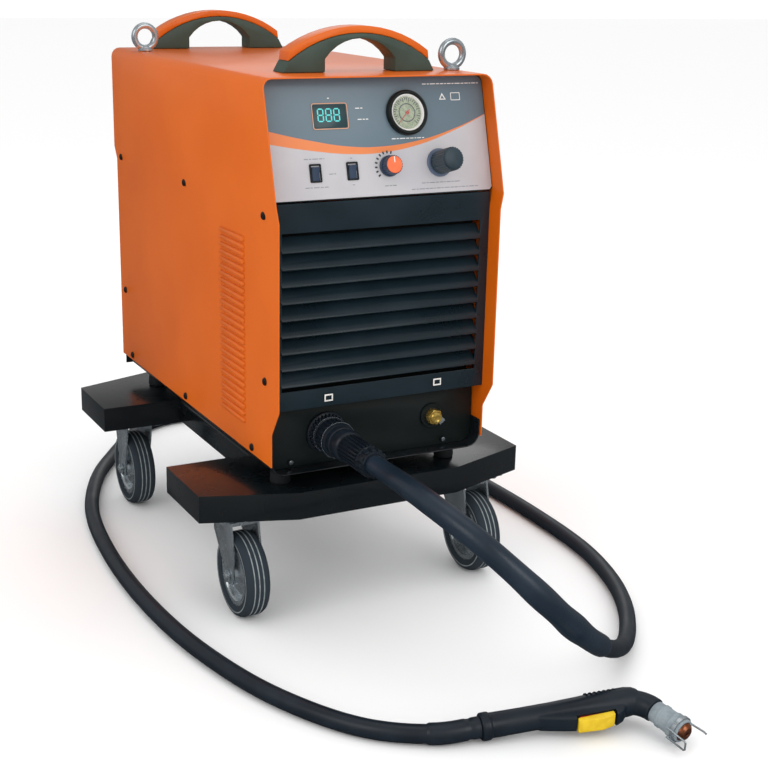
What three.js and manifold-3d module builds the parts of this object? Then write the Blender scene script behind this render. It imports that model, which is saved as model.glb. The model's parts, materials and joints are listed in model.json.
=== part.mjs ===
// Plasma cutter unit on a castor trolley, with its torch and torch cable.
// Millimetres, +Z up, front facing -Y, floor at z = 0.
import * as THREE from 'three';
import { mergeVertices } from 'three/addons/utils/BufferGeometryUtils.js';
import Module from 'manifold-3d';

const wasm = await Module();
wasm.setup();

// ---------------------------------------------------------------- driving sizes
const gap = 0.3; // clearance between pieces that touch
const machineY = 236; // middle of the housing, from the object's origin

// trolley and castors
const castorHeight = 155;
const wheelRadius = 62.5;
const wheelSides = 32;
const tyreWidth = 36;
const rimRadius = 45;
const axleRadius = 6;
const forkSheet = 3;
const swivelTrail = 34;
const castorInset = 70; // pivots in from the sides of the decks
const frontCastorInset = 91; // front pivots in from the front of the trolley
const rearCastorInset = 114;
const castorPlate = [84, 104, 3];
const deckSkirt = 40;
const deckSheet = 3;
const deckOverhang = 87; // decks stand out this far from the cover's sides
const deckLength = 179;
const deckTaperWidth = 133;
const deckTaperLength = 46;
const trolleyMid = 12; // middle of the trolley, from the middle of the housing
const trolleyShortfall = 9; // half the trolley's length is this much less than half the cover's
const railInset = 44; // rails in from the cover's sides
const railWidth = 30;
const railWall = 2.5;

// housing
const sheet = 2;
const footHeight = 25.4;
const footRadius = 15;
const footInsetX = 40; // in from the cover's sides
const footInsetY = 54; // in from the front of the trolley
const coverWidth = 350;
const coverDepth = 680;
const coverHeight = 528;
const coverLift = 16; // cover's lower edge above the tray's underside
const joggle = 4; // upper half of the cover stands out this far on each side
const joggleRise = 22;
const fasciaRise = 162; // crease below the top
const cornerRadius = 14;
const noseSetback = 45; // top front edge behind the crease
const chinStep = 25; // lower front edge behind the crease
const chinTop = 86;
const chinBottom = 48;
const panelRecess = 27;
const panelSheet = 3;
const trayFlange = 41;
const trayCorner = 20;
const rearRecess = 8;

// handles and eye bolts on the top
const handleSpan = 234;
const handleHeight = 62;
const handleLeg = 63;
const handleRise = 45; // finger gap height
const handleDepth = 36;
const capThickness = 10;
const frontHandleInset = 80; // behind the top front edge
const rearHandleInset = 30; // in front of the rear edge
const eyeOuter = 22.5;
const eyeInner = 12.5;
const eyeInsetX = 25;
const frontEyeInset = 115;
const rearEyeInset = 102;

// louvre panel
const windowSide = 14.7; // frame beside the window
const windowBottom = 27; // frame under the window
const windowHead = 39.7; // frame over the window
const bladePitch = 23.4;
const bladeChord = 25;
const bladeTilt = THREE.MathUtils.degToRad(50);

// control fascia: places are x and distance up the slope
const displaySize = [50, 32];
const displayAt = [-71, 113];
const gaugeAt = [45, 114];
const gaugeRadius = 31;
const gaugeBore = 26;
const rockerSize = [11.4, 18.6];
const rockerAt = [[-101, 38], [-46, 38.5]];
const rockerTilt = THREE.MathUtils.degToRad(10);
const rockerPivot = 4; // behind the fascia's face
const knobAt = [10, 42.5];
const knobRadius = 14.5;
const knobLength = 19;
const regulatorAt = [90, 44];
const regulatorRadius = 16.5;
const regulatorLength = 38;

// sockets on the connector panel: heights are above the tray's underside
const torchSocketInsetX = 99; // sockets in from the cover's sides
const workSocketInsetX = 78;
const torchSocketHeight = 49;
const socketRadius = 30;
const socketLength = 14;
const spigotRadius = 17.6;
const couplingRadius = 26;
const couplingLength = 34;
const shellRadius = 20.5;
const shellEnd = 152; // cable end of the connector, in front of the panel
const workSocketHeight = 51;
const workFlange = 17;
const workStudRadius = 12.4;

// rear panel
const fanDrop = 199; // middle of the fan below the top
const fanBore = 78;
const fanRadius = 72;
const switchInsetX = 80;
const switchRise = 150;
const switchSize = [46, 78, 22];
const glandInsetX = 80;
const glandRise = 90;
const glandRadius = 16;

// torch, lying on its side on the floor
const torchAt = [-67, -477, 17.8];
const torchTurn = [-77.2, -4.1, -14.4].map(THREE.MathUtils.degToRad);
const handleLength = 209;
const torchRadius = 17.5;
const headBend = THREE.MathUtils.degToRad(65);
const headLength = 78;
const flapStart = 118;
const flapEnd = 166;

// cable: route of its middle line, from the connector to the torch
const cableRadius = 12;
const cableSides = 10;
const cableSteps = 78;
const cableRoute = [
  [-76, -205.3, 270], [-76, -240, 270], [-80, -300, 273], [-74, -370, 266], [-54, -425, 246],
  [-23, -464, 213],
  [16, -483, 172], [65, -480, 124.5], [116, -460, 82.5], [167, -428, 48.5], [217, -388, 24.5],
  [263, -339, 13.5], [303, -283, 12.5], [335, -222, 12.5], [359, -157, 12.5], [376, -90, 12.5],
  [385, -22, 12.5], [389, 47, 12.5], [391, 130, 12.5], [389, 230, 12.5], [382, 335, 12.5],
  [362, 441, 12.5], [320, 561, 12.5], [252, 680, 12.5], [170, 776, 12.5], [94, 829, 12.5],
  [15, 843, 12.5], [-55, 815, 12.5], [-111, 753, 12.5], [-167, 672, 12.5], [-225, 576, 12.5],
  [-283, 421, 12.5], [-311, 236, 12.5], [-316, 36, 12.5], [-298, -139, 12.5], [-256, -294, 12.5],
  [-190, -409, 12.5], [-120, -461, 14], [-67.5, -476.9, 17.8],
];

// ---------------------------------------------------------------- derived heights and planes
const deckTop = castorHeight + deckSkirt;
const trayBottom = deckTop + footHeight + 2 * gap;
const coverBottom = trayBottom + coverLift;
const coverTop = coverBottom + coverHeight;
const creaseZ = coverTop - fasciaRise;
const frontY = -coverDepth / 2;
const rearY = coverDepth / 2;
const rearFaceY = rearY - rearRecess - 2;
const louvreY = frontY + panelRecess;
const connectorY = frontY + chinStep + panelRecess - 1;
const upperHalf = coverWidth / 2;
const lowerHalf = upperHalf - joggle;
const innerHalf = lowerHalf - sheet - gap; // panels that fit between the cover's sides
const slopeTilt = Math.atan2(noseSetback, fasciaRise);
const louvreBottom = coverBottom + chinTop - 7;
const wheelZ = wheelRadius * Math.cos(Math.PI / wheelSides);
const deckHalfWidth = upperHalf + deckOverhang;
const deckOuter = coverDepth / 2 - trolleyShortfall;
const castorX = deckHalfWidth - castorInset;
const frontCastorY = trolleyMid - deckOuter + frontCastorInset;
const rearCastorY = trolleyMid + deckOuter - rearCastorInset;
const torchSocketAt = [torchSocketInsetX - upperHalf, torchSocketHeight];
const workSocketAt = [upperHalf - workSocketInsetX, workSocketHeight];
const fanAt = [0, coverTop - fanDrop - trayBottom];
const switchAt = [switchInsetX - upperHalf, switchRise];
const glandAt = [upperHalf - glandInsetX, glandRise];

// ---------------------------------------------------------------- finishes
const finish = (color, roughness, metalness = 0) =>
  new THREE.MeshStandardMaterial({ color, roughness, metalness });
const finishes = {
  orangeEnamel: finish(0xde6c2e, 0.35),
  blackEnamel: finish(0x1c2326, 0.25),
  blackPlastic: finish(0x1f2b2b, 0.45),
  handlePlastic: finish(0x455a4e, 0.6),
  label: finish(0xc8c4c6, 0.5),
  smokedPlastic: finish(0x23343a, 0.15),
  zinc: finish(0x8e9ca3, 0.35, 0.9),
  tyreRubber: finish(0x27303a, 0.8),
  rubber: finish(0x20262a, 0.85),
  brass: finish(0xc9a94a, 0.3, 0.9),
  copper: finish(0xb5714a, 0.3, 0.9),
  aluminium: finish(0xb4b8bb, 0.4, 0.9),
  needleRed: finish(0xb23426, 0.4),
  knobOrange: finish(0xf0734f, 0.45),
  triggerRed: finish(0xd9463a, 0.4),
  flapYellow: finish(0xe3c51e, 0.4),
  ceramicGrey: finish(0x8e9ca3, 0.6),
  cableRubber: finish(0x1e2a36, 0.6),
  copperWinding: finish(0x9a5a32, 0.5, 0.6),
};

// ---------------------------------------------------------------- geometry helpers

/** A box of the given size, centred on a point. */
function box(size, at = [0, 0, 0]) {
  return new THREE.BoxGeometry(...size).translate(...at);
}

/** A flat outline given as [x, y] points, extruded from z = 0 to z = depth. */
function prism(points, depth) {
  const shape = new THREE.Shape(points.map(([x, y]) => new THREE.Vector2(x, y)));
  return new THREE.ExtrudeGeometry(shape, { depth, bevelEnabled: false });
}

/** An outline in the X-Z plane, extruded along Y between two places. */
function prismAlongY(points, fromY, toY) {
  return prism(points, toY - fromY).rotateX(Math.PI / 2).translate(0, toY, 0);
}

/** An outline in the Y-Z plane, extruded along X between two places. */
function prismAlongX(points, fromX, toX) {
  const turned = prism(points, toX - fromX).rotateX(Math.PI / 2).rotateZ(Math.PI / 2);
  return turned.translate(fromX, 0, 0);
}

/** A profile of [radius, height] points turned about the Z axis. */
function turned(profile, sides) {
  const points = profile.map(([radius, height]) => new THREE.Vector2(radius, height));
  return new THREE.LatheGeometry(points, sides).rotateX(Math.PI / 2);
}

/** A plain round bar along Z from one height to another. */
function bar(radius, from, to, sides = 20) {
  return turned([[0, from], [radius, from], [radius, to], [0, to]], sides);
}

/** Points of a circular arc, from one angle to another in degrees. */
function arc(centreX, centreY, radius, fromDegrees, toDegrees, steps) {
  return Array.from({ length: steps + 1 }, (_, i) => {
    const angle = THREE.MathUtils.degToRad(fromDegrees + ((toDegrees - fromDegrees) * i) / steps);
    return [centreX + radius * Math.cos(angle), centreY + radius * Math.sin(angle)];
  });
}

/** A rectangle with round corners, centred on the origin. */
function roundedRectangle(width, height, radius, steps = 3) {
  const x = width / 2 - radius;
  const y = height / 2 - radius;
  return [
    ...arc(x, -y, radius, -90, 0, steps), ...arc(x, y, radius, 0, 90, steps),
    ...arc(-x, y, radius, 90, 180, steps), ...arc(-x, -y, radius, 180, 270, steps),
  ];
}

/** A convex outline, listed anticlockwise, with every edge moved inwards. */
function inset(points, distance) {
  const edges = points.map((start, i) => {
    const end = points[(i + 1) % points.length];
    const length = Math.hypot(end[0] - start[0], end[1] - start[1]);
    const along = [(end[0] - start[0]) / length, (end[1] - start[1]) / length];
    return { start: [start[0] - along[1] * distance, start[1] + along[0] * distance], along };
  });
  return edges.map((edge, i) => {
    const before = edges[(i + edges.length - 1) % edges.length];
    const cross = before.along[0] * edge.along[1] - before.along[1] * edge.along[0];
    const dx = edge.start[0] - before.start[0];
    const dy = edge.start[1] - before.start[1];
    const t = (dx * edge.along[1] - dy * edge.along[0]) / cross;
    return [before.start[0] + before.along[0] * t, before.start[1] + before.along[1] * t];
  });
}

/** Turns a closed geometry into a manifold solid. */
function toSolid(geometry) {
  const bare = geometry.clone();
  bare.deleteAttribute('normal');
  bare.deleteAttribute('uv');
  const merged = mergeVertices(bare, 1e-4);
  const index = merged.index.array;
  const kept = [];
  for (let i = 0; i < index.length; i += 3) {
    const [a, b, c] = [index[i], index[i + 1], index[i + 2]];
    if (a !== b && b !== c && c !== a) kept.push(a, b, c);
  }
  return new wasm.Manifold(new wasm.Mesh({
    numProp: 3,
    vertProperties: new Float32Array(merged.attributes.position.array),
    triVerts: new Uint32Array(kept),
  }));
}

/** Turns a manifold solid back into a geometry. */
function toGeometry(solid) {
  const { vertProperties, triVerts } = solid.getMesh();
  const geometry = new THREE.BufferGeometry();
  geometry.setAttribute('position', new THREE.BufferAttribute(new Float32Array(vertProperties), 3));
  geometry.setIndex(new THREE.BufferAttribute(new Uint32Array(triVerts), 1));
  return geometry;
}

/** Joins geometries into one solid, then takes the cutters away from it. */
function carve(bodies, cutters = []) {
  let solid = bodies.map(toSolid).reduce((whole, next) => whole.add(next));
  for (const cutter of cutters) solid = solid.subtract(toSolid(cutter));
  return toGeometry(solid);
}

/** The part that two geometries share. */
function common(first, second) {
  return toGeometry(toSolid(first).intersect(toSolid(second)));
}

/** Adds one named piece to a group. */
function piece(parent, name, geometry, material) {
  const mesh = new THREE.Mesh(geometry, material);
  mesh.name = name;
  parent.add(mesh);
  return mesh;
}

/** A group whose X-Y plane is an upright face: X across, Y up, Z out of the face. */
function faceGroup(parent, at, turn = 0, tilt = 0) {
  const turntable = new THREE.Group();
  turntable.position.set(...at);
  turntable.rotation.z = turn;
  const face = new THREE.Group();
  face.rotation.x = Math.PI / 2 - tilt;
  turntable.add(face);
  parent.add(turntable);
  return face;
}

// ---------------------------------------------------------------- trolley

/** Outline of a trolley deck; side is -1 for the front deck and 1 for the rear one. */
function deckOutline(side) {
  const inner = deckOuter - deckLength;
  const corner = deckOuter - deckTaperLength;
  const kink = deckHalfWidth - deckTaperWidth;
  const outline = [
    [deckHalfWidth, inner], [deckHalfWidth, corner], [kink, deckOuter],
    [-kink, deckOuter], [-deckHalfWidth, corner], [-deckHalfWidth, inner],
  ].map(([x, y]) => [x, trolleyMid + side * y]);
  return side > 0 ? outline : outline.reverse();
}

/** A folded steel deck with a skirt all round and a pad over each castor. */
function deck(side) {
  const outline = deckOutline(side);
  const shell = prism(outline, deckSkirt).translate(0, 0, castorHeight);
  const inner = inset(outline, deckSheet);
  const hollow = prism(inner, deckSkirt).translate(0, 0, castorHeight - deckSheet);
  const padLayer = prism(inset(outline, deckSheet / 2), deckSheet).translate(0, 0, castorHeight);
  const padWidth = castorPlate[1] + 16;
  const pads = [-1, 1].map((hand) => {
    const slab = box([padWidth, 2 * deckOuter, 4 * deckSheet], [hand * castorX, 0, castorHeight]);
    return common(padLayer, slab);
  });
  return toGeometry(toSolid(carve([shell], [hollow])).add(toSolid(pads[0])).add(toSolid(pads[1])));
}

/** A rectangular tube that joins the two decks. */
function rail(hand) {
  const outer = roundedRectangle(railWidth, deckSkirt, 3, 1);
  const bore = roundedRectangle(railWidth - 2 * railWall, deckSkirt - 2 * railWall, 1, 1);
  const reach = deckOuter - deckLength - gap;
  const fromY = trolleyMid - reach;
  const toY = trolleyMid + reach;
  const tube = carve([prismAlongY(outer, fromY, toY)], [prismAlongY(bore, fromY - 1, toY + 1)]);
  return tube.translate(hand * (upperHalf - railInset - railWidth / 2), 0, deckTop - deckSkirt / 2);
}

/** Wheel pieces turned about X, centred on the origin. */
function wheelGeometries() {
  const halfWidth = tyreWidth / 2;
  const bore = rimRadius + gap;
  const turnWheel = (profile) => turned(profile, wheelSides)
    .rotateZ(Math.PI / wheelSides).rotateY(Math.PI / 2);
  const rim = turnWheel([
    [axleRadius + gap, -halfWidth - 0.5], [15, -halfWidth - 0.5], [18, -8], [34, -5], [38, -15],
    [rimRadius, -15], [rimRadius, 15], [38, 15], [34, 5], [18, 8], [15, halfWidth + 0.5],
    [axleRadius + gap, halfWidth + 0.5], [axleRadius + gap, -halfWidth - 0.5],
  ]);
  const tyre = turnWheel([
    [bore, -16], [52, -halfWidth], [58, -halfWidth], [wheelRadius, -11], [wheelRadius, 11],
    [58, halfWidth], [52, halfWidth], [bore, 16], [bore, -16],
  ]);
  return { rim, tyre };
}

/** A pressed fork: two legs and a crown, with a swivel head where it turns. */
function fork(trail, swivels) {
  const legInside = tyreWidth / 2 + 1.3;
  const legOutside = legInside + forkSheet;
  const crownTop = castorHeight - gap - (swivels ? castorPlate[2] + gap : 0);
  const crownLow = swivels ? crownTop - 12 : crownTop - 5;
  const foot = arc(-trail, wheelZ, 13, 180, 360, 4);
  const shoulders = swivels
    ? [[22, 116], [24, crownLow + 4], [-42, crownLow + 4], [-50, 108]]
    : [[30, 128], [34, crownTop], [-34, crownTop], [-30, 128]];
  const outline = [...foot, ...shoulders];
  const legs = [-1, 1].map((hand) => {
    const inside = hand * legInside;
    const outside = hand * legOutside;
    return prismAlongX(outline, Math.min(inside, outside), Math.max(inside, outside));
  });
  const crownSpan = swivels ? [66, -9] : [68, 0];
  const crown = box([2 * legOutside, crownSpan[0], 5], [0, crownSpan[1], crownLow + 2.5]);
  const bodies = [...legs, crown];
  if (swivels) bodies.push(bar(29, crownLow + 2, crownTop, 20));
  else bodies.push(box([80, 95, 3], [0, 0, crownTop - 1.5]));
  const hole = bar(axleRadius + gap, -40, 40, 16).rotateY(Math.PI / 2).translate(0, -trail, wheelZ);
  return carve(bodies, [hole]);
}

/** The bolt that a wheel turns on, with a nut at each end. */
function axle() {
  const legOutside = tyreWidth / 2 + 1.3 + forkSheet + gap;
  const half = [[0, -legOutside - 7], [9.5, -legOutside - 7], [9.5, -legOutside]];
  const otherHalf = half.map(([radius, height]) => [radius, -height]).reverse();
  const shank = [[axleRadius, -legOutside], [axleRadius, legOutside]];
  return turned([...half, ...shank, ...otherHalf], 16).rotateY(Math.PI / 2);
}

/** One whole castor, with its pivot over the group's origin. */
function addCastor(parent, name, x, y, trail) {
  const swivels = trail > 0;
  const castor = new THREE.Group();
  castor.position.set(x, y, 0);
  parent.add(castor);
  if (swivels) {
    const plate = box(castorPlate, [0, 0, castorHeight - gap - castorPlate[2] / 2]);
    piece(castor, `${name}_castor_plate`, plate, finishes.zinc);
  }
  piece(castor, `${name}_castor_fork`, fork(trail, swivels), finishes.zinc);
  const { rim, tyre } = wheelGeometries();
  for (const [part, geometry, material] of [
    ['axle', axle(), finishes.zinc], ['rim', rim, finishes.zinc], ['tyre', tyre, finishes.tyreRubber],
  ]) {
    piece(castor, `${name}_${part}`, geometry, material).position.set(0, -trail, wheelZ);
  }
}

/** The trolley: two decks, two rails, two swivel castors and two fixed castors. */
function addTrolley(parent) {
  piece(parent, 'trolley_front_deck', deck(-1), finishes.blackEnamel);
  piece(parent, 'trolley_rear_deck', deck(1), finishes.blackEnamel);
  piece(parent, 'trolley_rail_left', rail(-1), finishes.blackEnamel);
  piece(parent, 'trolley_rail_right', rail(1), finishes.blackEnamel);
  addCastor(parent, 'front_left', -castorX, frontCastorY, swivelTrail);
  addCastor(parent, 'front_right', castorX, frontCastorY, swivelTrail);
  addCastor(parent, 'rear_left', -castorX, rearCastorY, 0);
  addCastor(parent, 'rear_right', castorX, rearCastorY, 0);
}

// ---------------------------------------------------------------- housing

/** Half of the cover's section, from the lower right edge up and over to the middle. */
function coverHalfOutline(offset) {
  const low = lowerHalf - offset;
  const high = upperHalf - offset;
  const radius = cornerRadius - offset;
  const top = coverTop - offset;
  return [
    [low, coverBottom], [low, creaseZ - joggleRise], [high, creaseZ],
    ...arc(high - radius, top - radius, radius, 0, 90, 4),
  ];
}

/** A whole outline from its right half. */
function mirrored(half) {
  return [...half, ...half.map(([x, z]) => [-x, z]).reverse()];
}

/** The orange cover: one sheet bent over the top, its front edge cut to the nose profile. */
function cover() {
  const outer = mirrored(coverHalfOutline(0));
  const inner = mirrored(coverHalfOutline(sheet));
  const overrun = 5;
  const shell = prismAlongY([...outer, ...inner.reverse()], frontY - overrun, rearY);
  const outFront = frontY - 3 * overrun;
  const nose = [
    [outFront, coverBottom - overrun], [frontY + chinStep, coverBottom - overrun],
    [frontY + chinStep, coverBottom + chinBottom], [frontY, coverBottom + chinTop],
    [frontY, creaseZ], [frontY + noseSetback, coverTop],
    [frontY + noseSetback + Math.tan(slopeTilt) * overrun, coverTop + overrun],
    [outFront, coverTop + overrun],
  ];
  return carve([shell], [prismAlongX(nose, -upperHalf - overrun, upperHalf + overrun)]);
}

/** The base tray: a floor with a rounded corner up to a flange on each side. */
function baseTray() {
  const section = (offset) => {
    const right = [
      ...arc(innerHalf - trayCorner, trayBottom + trayCorner, trayCorner - offset, -90, 0, 4),
      [innerHalf - offset, trayBottom + trayFlange],
    ];
    return [...right.map(([x, z]) => [-x, z]).reverse(), ...right];
  };
  const outer = section(0);
  const walls = [...outer, ...section(sheet).reverse()];
  return prismAlongY(walls, frontY + chinStep + 3, rearFaceY - gap);
}

/** Rear panel with the fan opening, its guard bars and the body of the mains switch. */
function rearPanel() {
  const outline = mirrored(coverHalfOutline(sheet + gap))
    .map(([x, z]) => [x, z === coverBottom ? 0 : z - trayBottom]);
  const plate = prism(outline, 2);
  const opening = bar(fanBore, -5, 10, 32).translate(...fanAt, 0);
  const guard = [box([2 * fanBore + 4, 7, 2]), box([7, 2 * fanBore + 4, 2]), bar(24, -1, 1, 20)]
    .map((part) => part.translate(...fanAt, 1));
  const mainsSwitch = box(switchSize, [...switchAt, switchSize[2] / 2]);
  const switchSlot = box([16, 44, 16], [...switchAt, switchSize[2]]);
  const glandHole = bar(glandRadius - 4, -5, 10).translate(...glandAt, 0);
  const drilled = toSolid(carve([plate, mainsSwitch], [opening, glandHole, switchSlot]));
  return toGeometry(guard.map(toSolid).reduce((whole, bars) => whole.add(bars), drilled));
}

/** Louvre panel: a frame with a lip under it and downward-sloping blades across the window. */
function louvrePanel() {
  const height = creaseZ - gap - louvreBottom;
  const frame = box([2 * innerHalf, height, panelSheet], [0, height / 2, -panelSheet / 2]);
  const lipDepth = chinStep - 2;
  const lip = box([2 * innerHalf, panelSheet, lipDepth], [0, panelSheet / 2, -lipDepth / 2]);
  const windowHeight = height - windowHead - windowBottom;
  const windowHalfWidth = innerHalf - windowSide;
  const opening = box([2 * windowHalfWidth, windowHeight, 20], [0, windowBottom + windowHeight / 2, 0]);
  const bladeCount = Math.floor(windowHeight / bladePitch);
  const blades = Array.from({ length: bladeCount }, (_, i) => {
    const blade = box([2 * windowHalfWidth + 2, 2.4, bladeChord]).rotateX(bladeTilt);
    return blade.translate(0, windowBottom + bladePitch * (i + 0.7), -6);
  });
  const framed = toSolid(carve([frame, lip], [opening]));
  return toGeometry(blades.map(toSolid).reduce((whole, blade) => whole.add(blade), framed));
}

/** Connector panel: a plate with round lower corners and two sunk connector holes. */
function connectorPanel() {
  const half = innerHalf - sheet - gap;
  const height = louvreBottom - gap - trayBottom - sheet - gap;
  const radius = trayCorner - sheet - gap;
  const outline = [
    ...arc(half - radius, radius, radius, -90, 0, 4), [half, height], [-half, height],
    ...arc(-half + radius, radius, radius, 180, 270, 4),
  ];
  const plate = prism(outline, panelSheet).translate(0, 0, -panelSheet);
  const drop = sheet + gap;
  const torchHole = bar(spigotRadius, -10, 10, 24).translate(torchSocketAt[0], torchSocketAt[1] - drop, 0);
  const boss = bar(workFlange, -panelSheet, 4, 24).translate(workSocketAt[0], workSocketAt[1] - drop, 0);
  return carve([plate, boss], [torchHole]);
}

/** Handle body: two legs joined by an arch over the finger gap. */
function handleBody(capRadius, arcCentre) {
  const radius = capRadius - capThickness;
  const outside = handleSpan / 2 - 8.5;
  const edge = THREE.MathUtils.radToDeg(Math.acos(outside / radius));
  const inside = handleSpan / 2 - handleLeg;
  const shoulder = 18;
  const arch = handleRise - shoulder;
  const innerRadius = (inside ** 2 + arch ** 2) / (2 * arch);
  const innerEdge = THREE.MathUtils.radToDeg(Math.asin((innerRadius - arch) / innerRadius));
  return [
    [-handleSpan / 2, 0], [-inside, 0],
    ...arc(0, handleRise - innerRadius, innerRadius, 180 - innerEdge, innerEdge, 10),
    [inside, 0], [handleSpan / 2, 0],
    ...arc(0, arcCentre, radius, edge, 180 - edge, 14),
  ];
}

/** Handle cap: the orange strip that lies along the top of the arch. */
function handleCap(capRadius, arcCentre) {
  const end = handleSpan / 2 - 10;
  const outerEdge = THREE.MathUtils.radToDeg(Math.acos(end / capRadius));
  const under = capRadius - capThickness + gap;
  const innerEdge = THREE.MathUtils.radToDeg(Math.acos((end + 1.5) / under));
  return [
    ...arc(0, arcCentre, capRadius, outerEdge, 180 - outerEdge, 14),
    ...arc(0, arcCentre, under, 180 - innerEdge, innerEdge, 14),
  ];
}

/** One carrying handle on the top of the cover. */
function addHandle(parent, name, y) {
  const end = handleSpan / 2 - 8;
  const sagitta = handleHeight - 27;
  const capRadius = (end ** 2 + sagitta ** 2) / (2 * sagitta);
  const arcCentre = handleHeight - capRadius;
  const fromY = -handleDepth / 2;
  const body = prismAlongY(handleBody(capRadius, arcCentre), fromY, -fromY);
  const cap = prismAlongY(handleCap(capRadius, arcCentre), fromY + 1, -fromY - 1);
  piece(parent, `${name}_body`, body, finishes.handlePlastic).position.set(0, y, coverTop + gap);
  piece(parent, `${name}_cap`, cap, finishes.orangeEnamel).position.set(0, y, coverTop + gap);
}

/** A lifting eye bolt standing on the cover. */
function eyeBolt() {
  const tube = (eyeOuter - eyeInner) / 2;
  const ring = new THREE.TorusGeometry(eyeInner + tube, tube, 8, 20).rotateX(Math.PI / 2);
  return carve([ring.translate(0, 0, eyeOuter), bar(12, 0, 7, 20)]);
}

/** Everything that makes the box of the machine. */
function addHousing(parent) {
  piece(parent, 'base_tray', baseTray(), finishes.blackEnamel);
  piece(parent, 'cover', cover(), finishes.orangeEnamel);
  const louvres = faceGroup(parent, [0, louvreY, louvreBottom]);
  piece(louvres, 'louvre_panel', louvrePanel(), finishes.blackPlastic);
  const connectors = faceGroup(parent, [0, connectorY, trayBottom + sheet + gap]);
  piece(connectors, 'connector_panel', connectorPanel(), finishes.blackPlastic);
  const rear = faceGroup(parent, [0, rearFaceY, trayBottom], Math.PI);
  piece(rear, 'rear_panel', rearPanel(), finishes.blackPlastic);
  const footX = upperHalf - footInsetX;
  const footY = deckOuter - trolleyMid - footInsetY;
  for (const [name, x, y] of [
    ['foot_front_left', -footX, -footY], ['foot_front_right', footX, -footY],
    ['foot_rear_left', -footX, footY], ['foot_rear_right', footX, footY],
  ]) {
    const foot = turned([[0, 0], [footRadius, 0], [footRadius - 2, footHeight], [0, footHeight]], 16);
    piece(parent, name, foot, finishes.rubber).position.set(x, y, deckTop + gap);
  }
  addHandle(parent, 'front_handle', frontY + noseSetback + frontHandleInset);
  addHandle(parent, 'rear_handle', rearY - rearHandleInset);
  const eyeX = upperHalf - eyeInsetX;
  const eyes = [
    ['eye_bolt_front', eyeX, frontY + frontEyeInset], ['eye_bolt_rear', -eyeX, rearY - rearEyeInset],
  ];
  for (const [name, x, y] of eyes) {
    piece(parent, name, eyeBolt(), finishes.zinc).position.set(x, y, coverTop + gap);
  }
}

// ---------------------------------------------------------------- control fascia

/** A rocker paddle in its own side view, pivoting about its origin. */
function rocker() {
  const half = rockerSize[1] / 2;
  const outline = [
    [-half + 2, -6], [half - 2, -6], [half, rockerPivot - 1], [half, rockerPivot + 3.4],
    [0, rockerPivot + 1.6], [-half, rockerPivot + 3.4], [-half, rockerPivot - 1],
  ];
  return prismAlongX(outline, -rockerSize[0] / 2, rockerSize[0] / 2);
}

/** A turned knob with a raised pointer line. */
function knob(radius, length) {
  const grip = turned([
    [0, 0], [radius, 0], [radius, 3], [radius - 1, 4], [radius - 1.8, length - 1.5],
    [radius - 3.3, length], [0, length],
  ], 24);
  const pointer = box([2, radius - 3, 2], [0, (radius - 3) / 2 + 1, length - 0.4]);
  return carve([grip, pointer]);
}

/** The sloped control fascia and everything that sits in it. */
function addFascia(parent) {
  const slope = faceGroup(parent, [0, louvreY, creaseZ], 0, slopeTilt);
  const halfWidth = upperHalf - sheet - gap;
  const edge = 1.5;
  const length = (fasciaRise - sheet - gap) / Math.cos(slopeTilt);
  const radius = cornerRadius - sheet;
  const narrow = innerHalf;
  const outline = [
    [narrow, edge], [halfWidth, edge + 3], ...arc(halfWidth - radius, length - radius, radius, 0, 90, 4),
    ...arc(-halfWidth + radius, length - radius, radius, 90, 180, 4), [-halfWidth, edge + 3], [-narrow, edge],
  ];
  const plate = prism(outline, panelSheet).translate(0, 0, -panelSheet);
  const reach = 10;
  const slot = (size, at) => box([size[0] + 2 * gap, size[1] + 2 * gap, reach], [...at, 0]);
  const rockerSlot = [rockerSize[0], rockerSize[1] + 3];
  const holes = [
    slot(displaySize, displayAt), slot(rockerSlot, rockerAt[0]), slot(rockerSlot, rockerAt[1]),
    bar(gaugeBore + gap, -reach, reach, 28).translate(...gaugeAt, 0),
  ];
  piece(slope, 'control_fascia', carve([plate], holes), finishes.label);

  const display = prism(roundedRectangle(...displaySize, 2, 2), panelSheet + 1);
  piece(slope, 'display_window', display, finishes.smokedPlastic)
    .position.set(...displayAt, -panelSheet);

  const dialDepth = 4;
  const gauge = turned([
    [0, -32], [gaugeBore, -32], [gaugeBore, gap], [gaugeRadius, gap], [gaugeRadius, 7],
    [gaugeRadius - 3, 9], [gaugeBore - 1, dialDepth], [0, dialDepth],
  ], 32);
  piece(slope, 'gauge_case', gauge, finishes.blackPlastic).position.set(...gaugeAt, 0);
  const pointer = prism([[-0.7, -6], [0.7, -6], [0.4, 19], [-0.4, 19]], 0.8);
  const needle = carve([pointer, bar(2.5, 0, 1.6, 12)]);
  const needleMesh = piece(slope, 'gauge_needle', needle, finishes.needleRed);
  needleMesh.position.set(...gaugeAt, dialDepth + gap);
  needleMesh.rotation.z = THREE.MathUtils.degToRad(135);

  rockerAt.forEach((at, i) => {
    const mesh = piece(slope, i ? 'rocker_right' : 'rocker_left', rocker(), finishes.blackPlastic);
    mesh.position.set(...at, -rockerPivot);
    mesh.rotation.x = rockerTilt;
  });
  piece(slope, 'current_knob', knob(knobRadius, knobLength), finishes.knobOrange)
    .position.set(...knobAt, gap);
  piece(slope, 'regulator_knob', knob(regulatorRadius, regulatorLength), finishes.blackPlastic)
    .position.set(...regulatorAt, gap + 4);
}

// ---------------------------------------------------------------- connectors

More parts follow.
